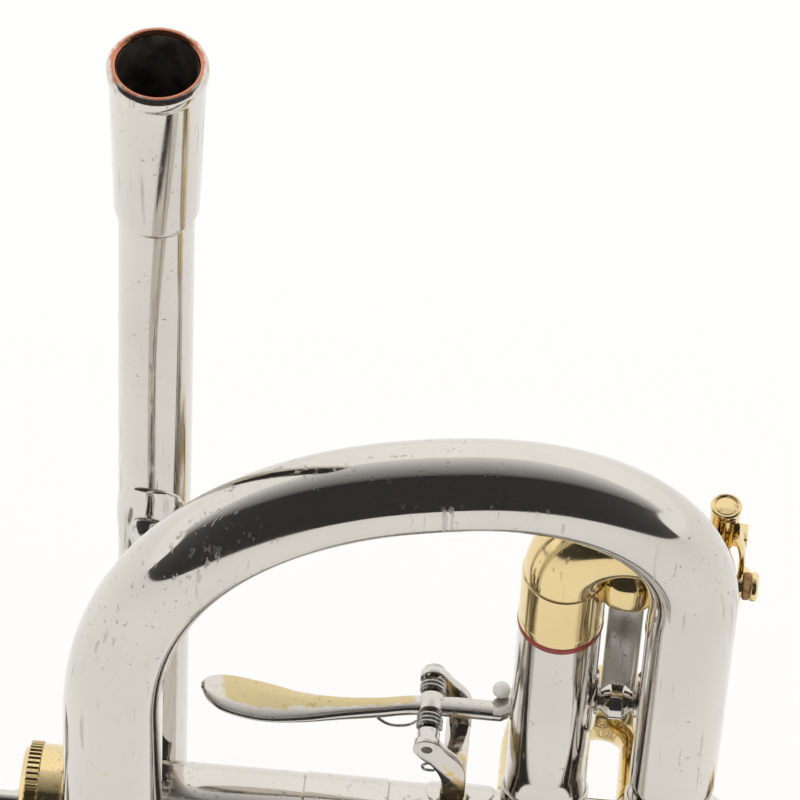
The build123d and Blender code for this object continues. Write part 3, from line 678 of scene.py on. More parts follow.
def make_bell():
    length = BELL_JOINT_Z - BELL_RIM_Z - RIM_WIRE_R
    outer = [(length * (k / 90) ** 1.6, k) for k in range(91)]
    outer = [(d, bell_r(d)) for d, _ in outer]
    inner = [(d, r - BELL_WALL) for d, r in reversed(outer)]
    shape = Shape()
    turned(shape, outer + inner, (BELL_X, BELL_Y, BELL_RIM_Z + RIM_WIRE_R), (0, 0, 1), 0.05, 160)
    shape.finish("bell_flare", NICKEL, "horn", ["bell"])
    rim = Shape()
    section = [
        (
            RIM_WIRE_R * 0.985 * math.sin(2 * math.pi * k / 20),
            BELL_RIM_R - RIM_WIRE_R + RIM_WIRE_R * 0.985 * math.cos(2 * math.pi * k / 20),
        )
        for k in range(20)
    ]
    section = [(max(along, 0.22 - RIM_WIRE_R), r) for along, r in section]
    turned(rim, section, (BELL_X, BELL_Y, BELL_RIM_Z + RIM_WIRE_R), (0, 0, 1), 0.05, 200)
    rim.finish("bell_rim_bead", NICKEL, "horn", ["bell_rim_wire"], wear=lambda p: 0.3)
    ferrule = Shape()
    half = 4.95
    outline = [
        (-half, 8.4), (-half, 8.95), (-half + 1.4, 9.15), (-half + 2.0, 8.95), (half - 2.0, 8.95),
        (half - 1.4, 9.15), (half, 8.95), (half, 7.9), (0.2, 7.9), (0.2, 8.4),
    ]
    turned(ferrule, outline, (BELL_X, BELL_Y, BELL_JOINT_Z), (0, 0, 1), 0.3)
    ferrule.finish("bell_ferrule_band", NICKEL, "horn", ["bell_ferrule"], sharp=60)


def bow_r(share):
    """Outer radius along the bend, from the throat to the tail."""
    stops = ((0, THROAT_R), (0.33, 7.0), (0.66, 6.6), (1, 6.5))
    for (a, ra), (b, rb) in zip(stops, stops[1:]):
        if share <= b:
            return ra + (rb - ra) * (share - a) / (b - a)
    return stops[-1][1]


def bow_quarter(foot, fullness, steps=60):
    """Points from one end of the bow up to its crest, on an oval that a fullness above 2 makes squarer."""
    crest_y = BELL_Y + (TAIL_Y - BELL_Y) * (BOW_CREST[0] - BELL_X) / (TAIL_X - BELL_X)
    crest = Vector((BOW_CREST[0], crest_y, BOW_CREST[1]))
    points = []
    for step in range(steps + 1):
        angle = math.pi / 2 * (step / steps) ** 1.2
        across = 1 - abs(math.cos(angle)) ** (2 / fullness)
        rise = math.sin(angle) ** (2 / fullness)
        points.append(
            Vector(
                (
                    foot.x + (crest.x - foot.x) * across, foot.y + (crest.y - foot.y) * across,
                    foot.z + (crest.z - foot.z) * rise,
                )
            )
        )
    return points


def make_bow():
    start = Vector((BELL_X, BELL_Y, BOW_THROAT_Z))
    end = Vector((TAIL_X, TAIL_Y, BOW_TAIL_Z))
    bend = bow_quarter(start, THROAT_FULLNESS) + bow_quarter(end, TAIL_FULLNESS)[-2::-1]
    down = [
        Vector((BELL_X, BELL_Y, BELL_JOINT_Z + 0.2 + (BOW_THROAT_Z - BELL_JOINT_Z) * k / 24))
        for k in range(24)
    ]
    tail = [Vector((TAIL_X, TAIL_Y, BOW_TAIL_Z + (TAIL_JOINT_Z - BOW_TAIL_Z) * k / 24)) for k in range(1, 25)]
    path = down + bend + tail
    walked = [0.0]
    for a, b in zip(path, path[1:]):
        walked.append(walked[-1] + (b - a).length)
    first, last = walked[len(down)], walked[len(down) + len(bend) - 1]
    shares = [min(max((d - first) / (last - first), 0), 1) for d in walked]

    def outer(t):
        return bow_r(shares[round(t * (len(path) - 1))])

    shape = Shape()
    pipe(shape, path, outer, lambda t: outer(t) - BOW_WALL, 96)

    def wear(p):
        crescent = 1.1 * spot(p, (88.1, -24.3, -109.5), 2.6)
        dull = max(0.40 * spot(p, (80, -30, -104), 12), 0.42 * spot(p, (-3, -43, -112), 14))
        return max(crescent, dull, 0.36 * spot(p, (8, -42, -80), 16))

    shape.finish("bell_bow_tube", NICKEL, "horn", ["bell_bow"], wear=wear, sharp=60)
    route = filleted(
        [
            (TAIL_X, TAIL_Y, TAIL_JOINT_Z + 10), (TAIL_X, TAIL_Y, -136), (93.3, -22.3, -151.5),
            (93.3, VALVE_Y, VALVE_Z[0]),
        ],
        13,
    )
    port = route.pop()
    reach = 1 - 6.1 / (port - route[-1]).length
    route += [route[-1].lerp(port, reach * k / 4) for k in range(1, 5)]
    tube = Shape()
    pipe(tube, route, TAIL_R - 0.01, TAIL_R - 0.6, 80)
    stop_at_casings(tube)
    tube.finish(
        "bell_tail_tube", NICKEL, "horn", ["bell_tail"], wear=lambda p: 0.6 * spot(p, (79, -30.5, -111), 5)
    )


# Valve section


def make_casings():
    """Three tubes, each with a raised band between two joint lines."""
    r = CASING_R - 0.005
    band_r = r + 0.14
    groove_r = r - 0.25
    low, high = BAND_X
    outline = [
        (CASING_TOP_X, CASING_BORE_R), (CASING_TOP_X, r), (low - 0.3, r), (low - 0.15, groove_r), (low, r),
        (low, band_r), (high, band_r), (high, r), (high + 0.15, groove_r), (high + 0.3, r),
        (CASING_END_X, r), (CASING_END_X, CASING_BORE_R),
    ]
    shape = Shape()
    for z in VALVE_Z:
        turned(shape, outline, (0, VALVE_Y, z), (1, 0, 0), 0.12, 112)
    shape.finish(
        "casing_tubes", NICKEL, "horn", ["valve_casings"], wear=lambda p: 0.45 * spot(p, (44, -17, -153), 12)
    )


def knurl(along, radius, step):
    """Milled edge: shallow teeth where the radius is greatest."""
    return radius - (0.32 if step % 4 in (0, 1) and radius > CAP_R - 0.28 else 0.0)


def make_caps():
    top, bottom = Shape(), Shape()
    x = CAP_TOP_X + 0.02
    for z in VALVE_Z:
        outline = [
            (x, 2.12), (x, CAP_R - 1.2), (x + 0.8, CAP_R - 0.5), (x + 0.81, CAP_R - 0.01),
            (-16.1, CAP_R - 0.01), (-16.05, CAP_R - 0.32), (-12.35, CAP_R - 0.32), (-12.02, CAP_R - 0.65),
            (-12.02, CASING_R + 0.01), (-17.0, CASING_R + 0.01), (-17.3, 2.12),
        ]
        turned(top, outline, (0, VALVE_Y, z), (1, 0, 0), 0.15, 240, flute=knurl)
        outline = [
            (99.85, CASING_R + 0.01), (99.85, CAP_R - 0.5), (100.3, CAP_R - 0.01), (103.4, CAP_R - 0.01),
            (103.5, CAP_R - 0.32), (105.4, CAP_R - 0.32), (106.15, CAP_R - 1.0), (106.15, 4.0),
            (105.2, 3.4), (105.2, 1.55), (104.5, 1.55), (104.5, CASING_R + 0.01),
        ]
        turned(bottom, outline, (0, VALVE_Y, z), (1, 0, 0), 0.15, 240, flute=knurl)
    top.finish("top_cap_milled", BRASS, "horn", ["top_caps"], "brass", sharp=35)
    bottom.finish("bottom_cap_milled", BRASS, "horn", ["bottom_caps"], "brass", sharp=35)


def make_valve_top(number):
    z = VALVE_Z[number]
    origin = (0, VALVE_Y, z)
    body = f"valve_{number + 1}"
    stem = Shape()
    turned(stem, tube_outline(BUTTON_X + 0.05, -13.1, 0, STEM_R - 0.01), origin, (1, 0, 0), 0.1, 48)
    stem.finish(f"stem_{number + 1}", NICKEL, body, [f"valve_stem_{number + 1}"])
    button = Shape()
    b = BUTTON_X
    outline = [
        (b - 0.02, 0), (b - 0.02, 3.0), (b - 1.0, 4.6), (b - 2.4, 6.9), (b - 3.3, 7.15), (b - 4.3, 7.15),
        (b - 4.58, 6.7), (b - 4.5, 6.12), (b - 3.65, 6.05), (b - 3.65, 0),
    ]
    turned(button, outline, origin, (1, 0, 0), 0.35)
    button.finish(f"button_{number + 1}", NICKEL, body, [f"finger_button_{number + 1}"])
    pearl = Shape()
    turned(
        pearl,
        [(b - 3.64, 0), (b - 3.64, 5.98), (b - 4.6, 5.95), (b - 4.88, 5.3), (b - 4.6, 3.0), (b - 4.52, 0)],
        origin, (1, 0, 0), 0.8,
    )
    pearl.finish(f"pearl_{number + 1}", PEARL, body, [f"button_pearl_{number + 1}"], "pearl")
    felt = Shape()
    for low, high, r in ((b + 0.02, b + 2.38, 5.28), (-17.08, -14.52, 5.78)):
        turned(felt, tube_outline(low, high, STEM_R + 0.02, r), origin, (1, 0, 0), 0.6, 72)
    felt.finish(f"felt_{number + 1}", FELT, body, [f"valve_felts_{number + 1}"], "felt")


def make_valve_spring(number):
    """Coil between the guide and the barrel's closed top."""
    wire_r, low, high = 0.45, -12.95, 29.45
    turns = 9.5
    steps = int(turns * 24)
    path = []
    for k in range(steps + 1):
        angle = 2 * math.pi * turns * k / steps
        x = low + wire_r + (high - low - 2 * wire_r) * k / steps
        path.append(Vector((x, VALVE_Y + 5.4 * math.cos(angle), VALVE_Z[number] + 5.4 * math.sin(angle))))
    shape = Shape()
    wire(shape, path, wire_r, 12)
    coil = shape.finish(
        f"coil_{number + 1}", STEEL, "horn", [f"valve_spring_{number + 1}"], "spring_steel", sharp=70
    )
    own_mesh(coil)


def make_knuckles():
    shape = Shape()
    for upper, x in ((0, 50.0), (1, 70.0)):
        z = (VALVE_Z[upper] + VALVE_Z[upper + 1]) / 2
        pipe(shape, [(x, VALVE_Y, z + 2.6 - 0.65 * k) for k in range(9)], 6.08, SLIDE_BORE_R, 64)
    for number, up, columns in ((0, 1, SLIDE_X), (2, -1, SLIDE_X + (TUNING_X,))):
        for x in columns:
            start = Vector((x, VALVE_Y, VALVE_Z[number]))
            slope = Vector((0, SLIDE_Y - VALVE_Y, 15 * up)).normalized()
            turned(shape, tube_outline(7.2, 12.35, LEG_R + 0.01, LEG_R + 0.47), start, slope, 0.25, 72)
    for x in SECOND_X:
        turned(
            shape, tube_outline(7.2, 12.35, LEG_R + 0.01, LEG_R + 0.47),
            (x, VALVE_Y, VALVE_Z[1]), (0, 1, 0), 0.25, 72,
        )
    stop_at_casings(shape)
    shape.finish("knuckle_collars", NICKEL, "horn", ["valve_knuckles"])


# Valve slides


def leg_route(number, x, end_z):
    """Outer leg's centre line, trimmed where it enters its casing."""
    up = 1 if end_z > VALVE_Z[number] else -1
    z = VALVE_Z[number]
    route = filleted([(x, VALVE_Y, z), (x, SLIDE_Y, z + 15 * up), (x, SLIDE_Y, end_z)], 14)
    route[0] = route[0] + (route[1] - route[0]).normalized() * 5.2
    return route


def sleeve(shape, centre, axis, start, end):
    """Brass sleeve with a bead-like rounded lip at its open end."""
    side = 1 if end > start else -1
    outline = [
        (start, SLIDE_R + 0.01), (start, SLEEVE_R - 0.01), (start + 1.3 * side, SLEEVE_R - 0.01),
        (start + 1.45 * side, SLEEVE_R - 0.07), (end - 0.25 * side, SLEEVE_R - 0.07), (end, CROOK_R + 0.08),
        (end, SLIDE_R + 0.01),
    ]
    turned(shape, outline, centre, axis, 0.15, 96)


def inner_leg(shape, centre, axis, start, end):
    turned(shape, tube_outline(start, end, SLIDE_BORE_R, SLIDE_R), centre, axis, 0.15, 64)


def make_first_slide():
    outer, inner, brass, rings = Shape(), Shape(), Shape(), Shape()
    for x in SLIDE_X:
        pipe(outer, leg_route(0, x, FIRST_LEG_TOP_Z), LEG_R - 0.005, 6.0, 96)
        base = FIRST_LEG_TOP_Z + 1.3
        inner_leg(inner, (x, SLIDE_Y, 0), (0, 0, 1), FIRST_LEG_TOP_Z - 28, FIRST_SLEEVE_TOP_Z)
        sleeve(brass, (x, SLIDE_Y, 0), (0, 0, 1), base, FIRST_SLEEVE_TOP_Z)
        outline = tube_outline(FIRST_LEG_TOP_Z + 0.03, base - 0.02, SLIDE_R + 0.02, 6.53)
        turned(rings, outline, (x, SLIDE_Y, 0), (0, 0, 1), 0.5, 96)
    middle = ((SLIDE_X[0] + SLIDE_X[1]) / 2, SLIDE_Y, FIRST_SLEEVE_TOP_Z)
    half = (SLIDE_X[1] - SLIDE_X[0]) / 2
    pipe(brass, arc(middle, (-half, 0, 0), (0, 0, half), 0, 180, 64), CROOK_R - 0.01, SLIDE_BORE_R, 96)
    stop_at_casings(outer)
    outer.finish("first_legs", NICKEL, "horn", ["first_slide_outer"])
    inner.finish("first_inner", BRASS, "first_slide", ["first_slide_inner"], "inner_tube")
    brass.finish("first_crook", BRASS, "first_slide", ["first_slide_crook"], "brass")
    rings.finish("first_rings", RUBBER, "first_slide", ["first_slide_rings"], "red_rubber")


def make_spacer():
    shape = Shape()
    middle = (SLIDE_X[0] + SLIDE_X[1]) / 2
    start, end = SLIDE_X[0] + LEG_R - 0.2, SLIDE_X[1] - LEG_R + 0.2
    outline = [
        (start, 0), (start, 2.5), (start + 0.7, 2.2), (middle - 2.5, 1.45), (middle - 1.9, 2.0),
        (middle - 1.0, 2.72), (middle + 1.0, 2.72), (middle + 1.9, 2.0), (middle + 2.5, 1.45),
        (end - 0.7, 2.2), (end, 2.5), (end, 0),
    ]
    turned(shape, outline, (0, SLIDE_Y, SPACER_Z), (1, 0, 0), 0.2, 64)
    for x, side in zip(SLIDE_X, (1, -1)):
        foot(shape, (x, SLIDE_Y, SPACER_Z), (0, 0, 1), (side, 0, 0), LEG_R, 12.9, 8.9, 0.5)
    shape.finish("leg_spacer", NICKEL, "horn", ["first_slide_spacer"], wear=lambda p: 0.35)


def make_second_slide():
    outer, inner, brass = Shape(), Shape(), Shape()
    z = VALVE_Z[1]
    for x in SECOND_X:
        pipe(outer, [(x, VALVE_Y + 5.6 + (18.4) * k / 10, z) for k in range(11)], LEG_R - 0.005, 6.0, 80)
        inner_leg(inner, (x, 0, z), (0, 1, 0), -6.6, 18.5)
        sleeve(brass, (x, 0, z), (0, 1, 0), 8.15, 18.5)
    middle = ((SECOND_X[0] + SECOND_X[1]) / 2, 18.5, z)
    half = (SECOND_X[1] - SECOND_X[0]) / 2
    pipe(brass, arc(middle, (-half, 0, 0), (0, half, 0), 0, 180, 64), CROOK_R - 0.01, SLIDE_BORE_R, 96)
    stop_at_casings(outer)
    outer.finish("second_legs", NICKEL, "horn", ["second_slide_outer"])
    inner.finish("second_inner", BRASS, "second_slide", ["second_slide_inner"], "inner_tube")
    brass.finish("second_crook", BRASS, "second_slide", ["second_slide_crook"], "brass")


def make_front_slides():
    outer, inner, brass = Shape(), Shape(), Shape()
    for x in SLIDE_X:
        pipe(outer, leg_route(2, x, FRONT_LEG_Z), LEG_R - 0.005, 6.0, 80)
        inner_leg(inner, (x, SLIDE_Y, 0), (0, 0, 1), FRONT_LEG_Z + 36, THIRD_CROOK_Z)
        sleeve(brass, (x, SLIDE_Y, 0), (0, 0, 1), FRONT_LEG_Z - 0.12, THIRD_CROOK_Z)
    middle = ((SLIDE_X[0] + SLIDE_X[1]) / 2, SLIDE_Y, THIRD_CROOK_Z)
    half = (SLIDE_X[1] - SLIDE_X[0]) / 2
    pipe(brass, arc(middle, (-half, 0, 0), (0, 0, -half), 0, 180, 64), CROOK_R - 0.01, SLIDE_BORE_R, 96)
    stop_at_casings(outer)
    outer.finish("third_legs", NICKEL, "horn", ["third_slide_outer"])
    inner.finish("third_inner", BRASS, "third_slide", ["third_slide_inner"], "inner_tube")
    brass.finish("third_crook", BRASS, "third_slide", ["third_slide_crook"], "brass")
    ring = Shape()
    ring_r, wire_r = 10.8, 1.68
    z = FRONT_LEG_Z - 11
    y = SLIDE_Y - SLEEVE_R - ring_r - 1.9
    loop = arc((SLIDE_X[0], y, z), (0, ring_r, 0), (0, 0, ring_r), 0, 360, 72)[:-1]
    ring.grid(
        [
            ring_at(p, ((p - Vector((SLIDE_X[0], y, z))).normalized(), Vector((1, 0, 0))), wire_r, 24)
            for p in loop
        ],
        close_path=True,
    )
    wire(ring, [(SLIDE_X[0], y + ring_r, z), (SLIDE_X[0], SLIDE_Y - SLEEVE_R, z)], wire_r, 24)
    foot(ring, (SLIDE_X[0], SLIDE_Y, z), (0, 0, 1), (0, -1, 0), SLEEVE_R, 15.9, 7.9, 0.5)
    ring.finish("finger_ring", NICKEL, "third_slide", ["third_slide_ring"])


def make_tuning_slide():
    outer, inner, brass = Shape(), Shape(), Shape()
    neck = [
        (-212.05, LEADPIPE_R + 0.01), (-212.05, 5.95), (-214, 6.88), (-224, 6.88), (-226, LEG_R - 0.01),
        (FRONT_LEG_Z, LEG_R - 0.01), (FRONT_LEG_Z, 6.0), (-226, 6.0), (-226, LEADPIPE_R + 0.01),
    ]
    turned(outer, neck, (0, 0, 0), (0, 0, 1), 0.4)
    pipe(outer, leg_route(2, TUNING_X, FRONT_LEG_Z), LEG_R - 0.005, 6.0, 80)
    feet = (Vector((0, 0, 0)), Vector((TUNING_X, SLIDE_Y, 0)))
    for place in feet:
        inner_leg(inner, place, (0, 0, 1), FRONT_LEG_Z + 38, TUNING_CROOK_Z)
        sleeve(brass, place, (0, 0, 1), FRONT_LEG_Z - 0.12, TUNING_CROOK_Z)
    middle = (feet[0] + feet[1]) / 2 + Vector((0, 0, TUNING_CROOK_Z))
    half = (feet[1] - feet[0]) / 2
    pipe(brass, arc(middle, -half, (0, 0, -half.length), 0, 180, 80), CROOK_R - 0.01, SLIDE_BORE_R, 96)
    stop_at_casings(outer)
    outer.finish("tuning_legs", NICKEL, "horn", ["tuning_slide_outer"])
    inner.finish("tuning_inner", BRASS, "tuning_slide", ["tuning_slide_inner"], "inner_tube")
    brass.finish("tuning_crook", BRASS, "tuning_slide", ["tuning_slide_crook"], "brass")


# Thumb trigger


def on_side(u, v, w):
    """Plate standing square to Y."""
    return Vector((u, w, v))


def facing(u, v, w):
    """Plate lying square to Z."""
    return Vector((u, v, w))


def make_trigger_saddle():
    z = VALVE_Z[0]
    shape = Shape()
    foot(shape, (49.5, VALVE_Y, z), (1, 0, 0), (0, 5.5, 8.8), CASING_R, 10.9, 12.5, 0.52)
    low, high = z + 8.2, -149.6
    slab(shape, [(46.4, low), (50.2, low), (50.2, high), (46.4, high)], -15.2, -1.0, on_side, 0.4)
    ear = [
        (46.9, -150.6), (46.5, -146.5), (45.1, -143.2), (43.2, -141.2), (42.0, -139.4), (41.95, -137.8),
        (42.9, -136.6), (44.3, -136.35), (45.6, -137.0), (47.1, -139.2), (49.2, -141.8), (50.2, -144.8),
        (50.3, -150.6),
    ]
    ear = [(p.x, p.y) for p in smooth_curve([(x, z, 0) for x, z in ear], 60)]
    for near, far in ((-15.35, -14.05), (-2.15, -0.85)):
        slab(shape, ear, near, far, on_side, 0.3)
    turned(
        shape, [(-14.2, 1.02), (-14.2, 2.1), (-13.2, 1.75), (-11.95, 1.75), (-11.95, 1.02)],
        (HINGE_X, 0, HINGE_Z), (0, 1, 0), 0.25, 48,
    )
    shape.finish(
        "trigger_bracket", NICKEL, "horn", ["trigger_saddle"],
        wear=lambda p: 0.6 * spot(p, (49, -15, -150), 5) + 0.25
    )
    # Dark disc on the near ear's face: painted shade standing for the screw hole, since the ear itself is
    # solid.
    hole_shade = Shape()
    turned(
        hole_shade, [(-15.42, 0), (-15.42, 0.86), (-15.3, 0.92), (-15.3, 0)], (HINGE_X, 0, HINGE_Z), (0, 1, 0),
        0.02, 32,
    )
    hole_shade.finish("trigger_screw_hole_shade", OXIDE_AND_HOLE_SHADE, "horn", slot="spring_steel")


def make_trigger_screw():
    shape = Shape()
    outline = [
        (-15.15, 0), (-15.15, 0.97), (-0.85, 0.97), (-0.79, 1.65), (-0.1, 1.65), (0.15, 1.2), (0.15, 0)
    ]
    turned(shape, outline, (HINGE_X, 0, HINGE_Z), (0, 1, 0), 0.15, 40)
    shape.finish("trigger_hinge_screw", STEEL, "horn", ["trigger_screw"], "spring_steel")


def smooth_curve(points, count):
    """Evenly spread points on a smooth curve through the given ones."""
    points = [Vector(p) for p in points]
    padded = [points[0] * 2 - points[1], *points, points[-1] * 2 - points[-2]]
    result = []
    for k in range(count + 1):
        place = min(k / count * (len(points) - 1), len(points) - 1 - 1e-6)
        i = int(place)
        t = place - i
        a, b, c, d = padded[i:i + 4]
        result.append(
            0.5 * (2 * b + (c - a) * t + (2 * a - 5 * b + 4 * c - d) * t * t + (3 * b - a - 3 * c + d) * t**3)
        )
    return result


def make_trigger_lever():
    """Spoon and bar as one lofted bar of flat oval section, then the arm that reaches behind the leg."""
    route = [
        (8.2, -138.6, 0.5), (9.6, -139.4, 2.3), (12.5, -140.5, 3.5), (18.0, -141.8, 3.6),
        (24.0, -142.3, 2.7), (30.0, -141.6, 1.9), (36.0, -140.4, 1.55), (41.0, -139.0, 1.5),
        (47.0, -138.5, 1.55), (53.6, -138.5, 1.55),
    ]
    centre = smooth_curve([(x, LEVER_Y, z) for x, z, _ in route], 90)
    half = smooth_curve([(w, 0, 0) for _, _, w in route], 90)
    shape = Shape()
    rings = []
    for k, (point, width) in enumerate(zip(centre, half)):
        spoon = max(0.0, min(1.0, (34 - point.x) / 16))
        thick = 1.18 - 0.35 * spoon
        grow = min(1.0, 0.35 + k / 8)
        ring = []
        for j in range(40):
            angle = 2 * math.pi * j / 40
            across = rounded_square(math.cos(angle), 0.62)
            up = rounded_square(math.sin(angle), 0.7)
            dish = 0.35 * spoon * (across * across - 0.5)
            height = thick * up * grow * (1 - 0.3 * spoon * abs(across) ** 3) + dish * 0.5
            ring.append(point + Vector((0, width.x * across, height)))
        rings.append(ring)
    rows = shape.grid(rings)
    shape.cap(rows[0])
    shape.cap(rows[-1])
    arm = [
        (52.6, LEVER_Y - 1.5), (54.9, LEVER_Y - 1.5), (56.0, LEVER_Y - 0.8), (60.0, LINK_Y - 1.0),
        (73.1, LINK_Y - 1.0), (73.1, LINK_Y + 1.5), (58.7, LINK_Y + 1.5), (53.2, LEVER_Y + 1.5),
        (52.6, LEVER_Y + 1.5),
    ]
    slab(shape, arm, HINGE_Z - 0.76, HINGE_Z + 0.76, facing, 0.3)
    turned(shape, tube_outline(-1.58, 1.58, 1.07, 1.88), (HINGE_X, LEVER_Y, HINGE_Z), (0, 1, 0), 0.2, 40)

    def wear(p):
        across = abs(p.y - LEVER_Y) / (3.6 if p.x < 22 else 2.0)
        ends = min(1.0, max(0.0, (p.x - 10.5) / 2.0)) * min(1.0, max(0.0, (43.5 - p.x) / 3.0))
        centre_z = -142.3 + 0.014 * (p.x - 24) ** 2
        top = min(1.0, max(0.0, (p.z - centre_z) / 0.5))
        reach = 1.7 if p.x < 22 else 0.7
        far = min(1.0, max(0.0, (p.y - LEVER_Y + reach) / 0.8))
        return (0.35 + 0.42 * ends * top * far) * (1 - 0.2 * across**3)

    shape.finish("trigger_spoon", GOLD_WORN, "trigger", ["trigger_lever"], wear=wear)
    ball = Shape()
    blob(ball, (54.6, LEVER_Y + 2.6, HINGE_Z + 2.2), (1.38, 1.38, 1.38))
    ball.finish("trigger_bumper", NYLON, "trigger", ["trigger_ball"], "nylon")


def make_trigger_springs():
    """Two torsion coils of round wire, each with a tail that stays close to the coil."""
    wire_r = 0.34
    shape = Shape()
    for low, high in ((-11.6, -9.0), (-4.8, -2.5)):
        turns = (high - low - 2 * wire_r) / (2 * wire_r + 0.06)
        steps = int(turns * 24)
        path = []
        for k in range(steps + 1):
            angle = 2 * math.pi * turns * k / steps
            y = low + wire_r + (high - low - 2 * wire_r) * k / steps
            path.append(Vector((HINGE_X + 1.74 * math.cos(angle), y, HINGE_Z + 1.74 * math.sin(angle))))
        wire(shape, path, wire_r, 12)
    leg = [
        (42.3, -9.1, -139.6), (40.6, -9.1, -141.2), (38.2, -8.9, -141.9), (36.4, -8.4, -141.6),
        (35.2, -7.6, -141.0),
    ]
    hook = [
        (46.8, -13.2, -145.4), (45.2, -13.4, -146.6), (43.8, -13.5, -146.4), (43.4, -13.6, -145.3),
        (44.2, -13.6, -144.6), (45.4, -13.5, -144.6),
    ]
    wire(shape, smooth_curve(leg, 24), 0.24, 12)
    wire(shape, smooth_curve(hook, 30), 0.24, 12)
    shape.finish("trigger_coils", STEEL, "horn", ["trigger_springs"], "spring_steel", sharp=70)


def make_trigger_link():
    shape = Shape()
    half, slot_half = 2.72, 1.42
    low, high = -141.55, -101.0
    right, left = LINK_X + half, LINK_X - half
    outline = [
        (left, high), (right, high), (right, low), (left, low), (left, HINGE_Z - slot_half),
        (LINK_X + 1.48, HINGE_Z - slot_half), (LINK_X + 1.48, HINGE_Z + slot_half),
        (left, HINGE_Z + slot_half),
    ]
    slab(shape, outline, LINK_Y - 0.98, LINK_Y + 0.58, on_side, 0.25)
    shape.finish("link_strap", NICKEL_DULL, "first_slide", ["trigger_link"], wear=lambda p: 0.3)
    boss = Shape()
    middle = (SLIDE_X[0] + SLIDE_X[1]) / 2
    blob(boss, (middle, SLIDE_Y + 1.5, -98.0), (4.6, 5.1, 4.95), 0.8, 48)
    boss.finish("link_boss", BRASS, "first_slide", ["trigger_link_boss"], "brass")


def make_key_seat():
    """Nipple on the sleeve, the arm that holds the hinge pin, the pin and its round end cap."""
    seat = Shape()
    low, high = KEY_LOW_Z, KEY_HIGH_Z
    nipple_end = NIPPLE_X + 0.8 - SLIDE_X[1]
    nipple = tube_outline(5.9, nipple_end, 0.92, 1.78)
    turned(seat, nipple, (SLIDE_X[1], NIPPLE_Y, NIPPLE_Z), (1, 0, 0), 0.25, 40)
    arm = [(SLIDE_X[1] - 0.6, -5.2), (KEY_X - 0.9, KEY_Y - 1.3)]
    for k in range(10):
        angle = math.radians(-70 + 20 * k)
        arm.append((KEY_X + 1.65 * math.cos(angle), KEY_Y + 1.65 * math.sin(angle)))
    arm.append((SLIDE_X[1] - 0.6, -3.6))
    slab(seat, arm, low - 1.3, low - 0.1, facing, 0.25)
    end_cap = [
        (high + 0.1, 0), (high + 0.1, 2.3), (high + 1.1, 2.38), (high + 1.35, 2.1), (high + 1.25, 1.8),
        (high + 1.05, 1.7), (high + 1.15, 1.55), (high + 1.2, 0),
    ]
    turned(seat, end_cap, (KEY_X, KEY_Y, 0), (0, 0, 1), 0.12, 64)
    pin = tube_outline(low - 1.28, high + 0.2, 0, 0.78)
    turned(seat, pin, (KEY_X, KEY_Y, 0), (0, 0, 1), 0.15, 32)
    seat.finish("key_seat", BRASS, "first_slide", ["first_key_seat"], "brass")


def add_key_strap(lever, middle, strap_x, bend_r):
    """Flat strap that runs up beside the sleeve and bends over the crook."""
    start = math.degrees(math.acos((87.2 - middle) / (bend_r + 0.3)))
    centre = Vector((middle, 0, FIRST_SLEEVE_TOP_Z))
    route = [Vector((strap_x + 0.55, 0, z)) for z in (-105.9, -101, -97.5)]
    route += arc(centre, (bend_r + 0.55, 0, 0), (0, 0, bend_r + 0.55), 0, start, 24)
    rings = []
    for k, point in enumerate(route):
        out = Vector((1, 0, 0)) if k < 4 else (point - centre).normalized()
        ring = []
        for j in range(28):
            angle = 2 * math.pi * j / 28
            across = rounded_square(math.cos(angle), 0.5) * 1.55
            up = rounded_square(math.sin(angle), 0.6) * 0.52
            ring.append(point + out * up + Vector((0, KEY_STRAP_Y + across, 0)))
        rings.append(ring)
    rows = lever.grid(rings)
    lever.cap(rows[0])
    lever.cap(rows[-1])


def make_key_lever():
    """Hinge barrel, strap, the web between them, and the cup with its arm."""
    lever = Shape()
    low, high = KEY_LOW_Z, KEY_HIGH_Z
    barrel = [
        (low + 0.02, 0.88), (low + 0.02, 2.18), (high - 0.02, 2.18), (high - 0.02, 1.55), (high - 0.5, 1.45),
        (high - 0.5, 0.88),
    ]
    turned(lever, barrel, (KEY_X, KEY_Y, 0), (0, 0, 1), 0.3, 56)
    middle = (SLIDE_X[0] + SLIDE_X[1]) / 2
    bend_r = (SLIDE_X[1] - SLIDE_X[0]) / 2 + CROOK_R + 0.1
    strap_x = middle + bend_r
    add_key_strap(lever, middle, strap_x, bend_r)
    web = [
        (KEY_X + 0.5, KEY_Y - 1.1), (strap_x + 1.05, KEY_Y - 2.4), (strap_x + 1.05, KEY_Y + 0.8),
        (KEY_X + 0.5, KEY_Y + 1.0),
    ]
    slab(lever, web, low + 0.6, low + 3.4, facing, 0.25)
    cup = [(0.02, 0), (0.02, 2.2), (0.9, 2.25), (1.25, 1.7), (1.25, 0)]
    turned(lever, cup, (CUP_X, NIPPLE_Y, NIPPLE_Z), (1, 0, 0), 0.3, 48)
    arm = [
        (strap_x + 0.05, -8.5), (CUP_X + 0.9, -8.5), (CUP_X + 0.9, -7.0), (strap_x + 1.0, -5.0),
        (strap_x + 0.05, -5.0),
    ]
    slab(lever, arm, NIPPLE_Z - 1.35, NIPPLE_Z + 1.35, facing, 0.25)
    lever.finish("key_lever", BRASS, "first_key", ["first_key_lever"], "brass", wear=lambda p: 0.35)


def make_key_cork():
    cork = Shape()
    outline = tube_outline(NIPPLE_X + 0.82, CUP_X - 0.01, 0, 2.08)
    turned(cork, outline, (0, NIPPLE_Y, NIPPLE_Z), (1, 0, 0), 0.3, 40)
    cork.finish("key_cork", CORK, "first_key", ["first_key_cork"], "cork")


# Carried-over CAD nodes


def dress(node, material):
    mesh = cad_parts[node].data
    for index in range(max(1, len(mesh.materials))):
        if mesh.materials:
            mesh.materials[index] = material
        else:
            mesh.materials.append(material)


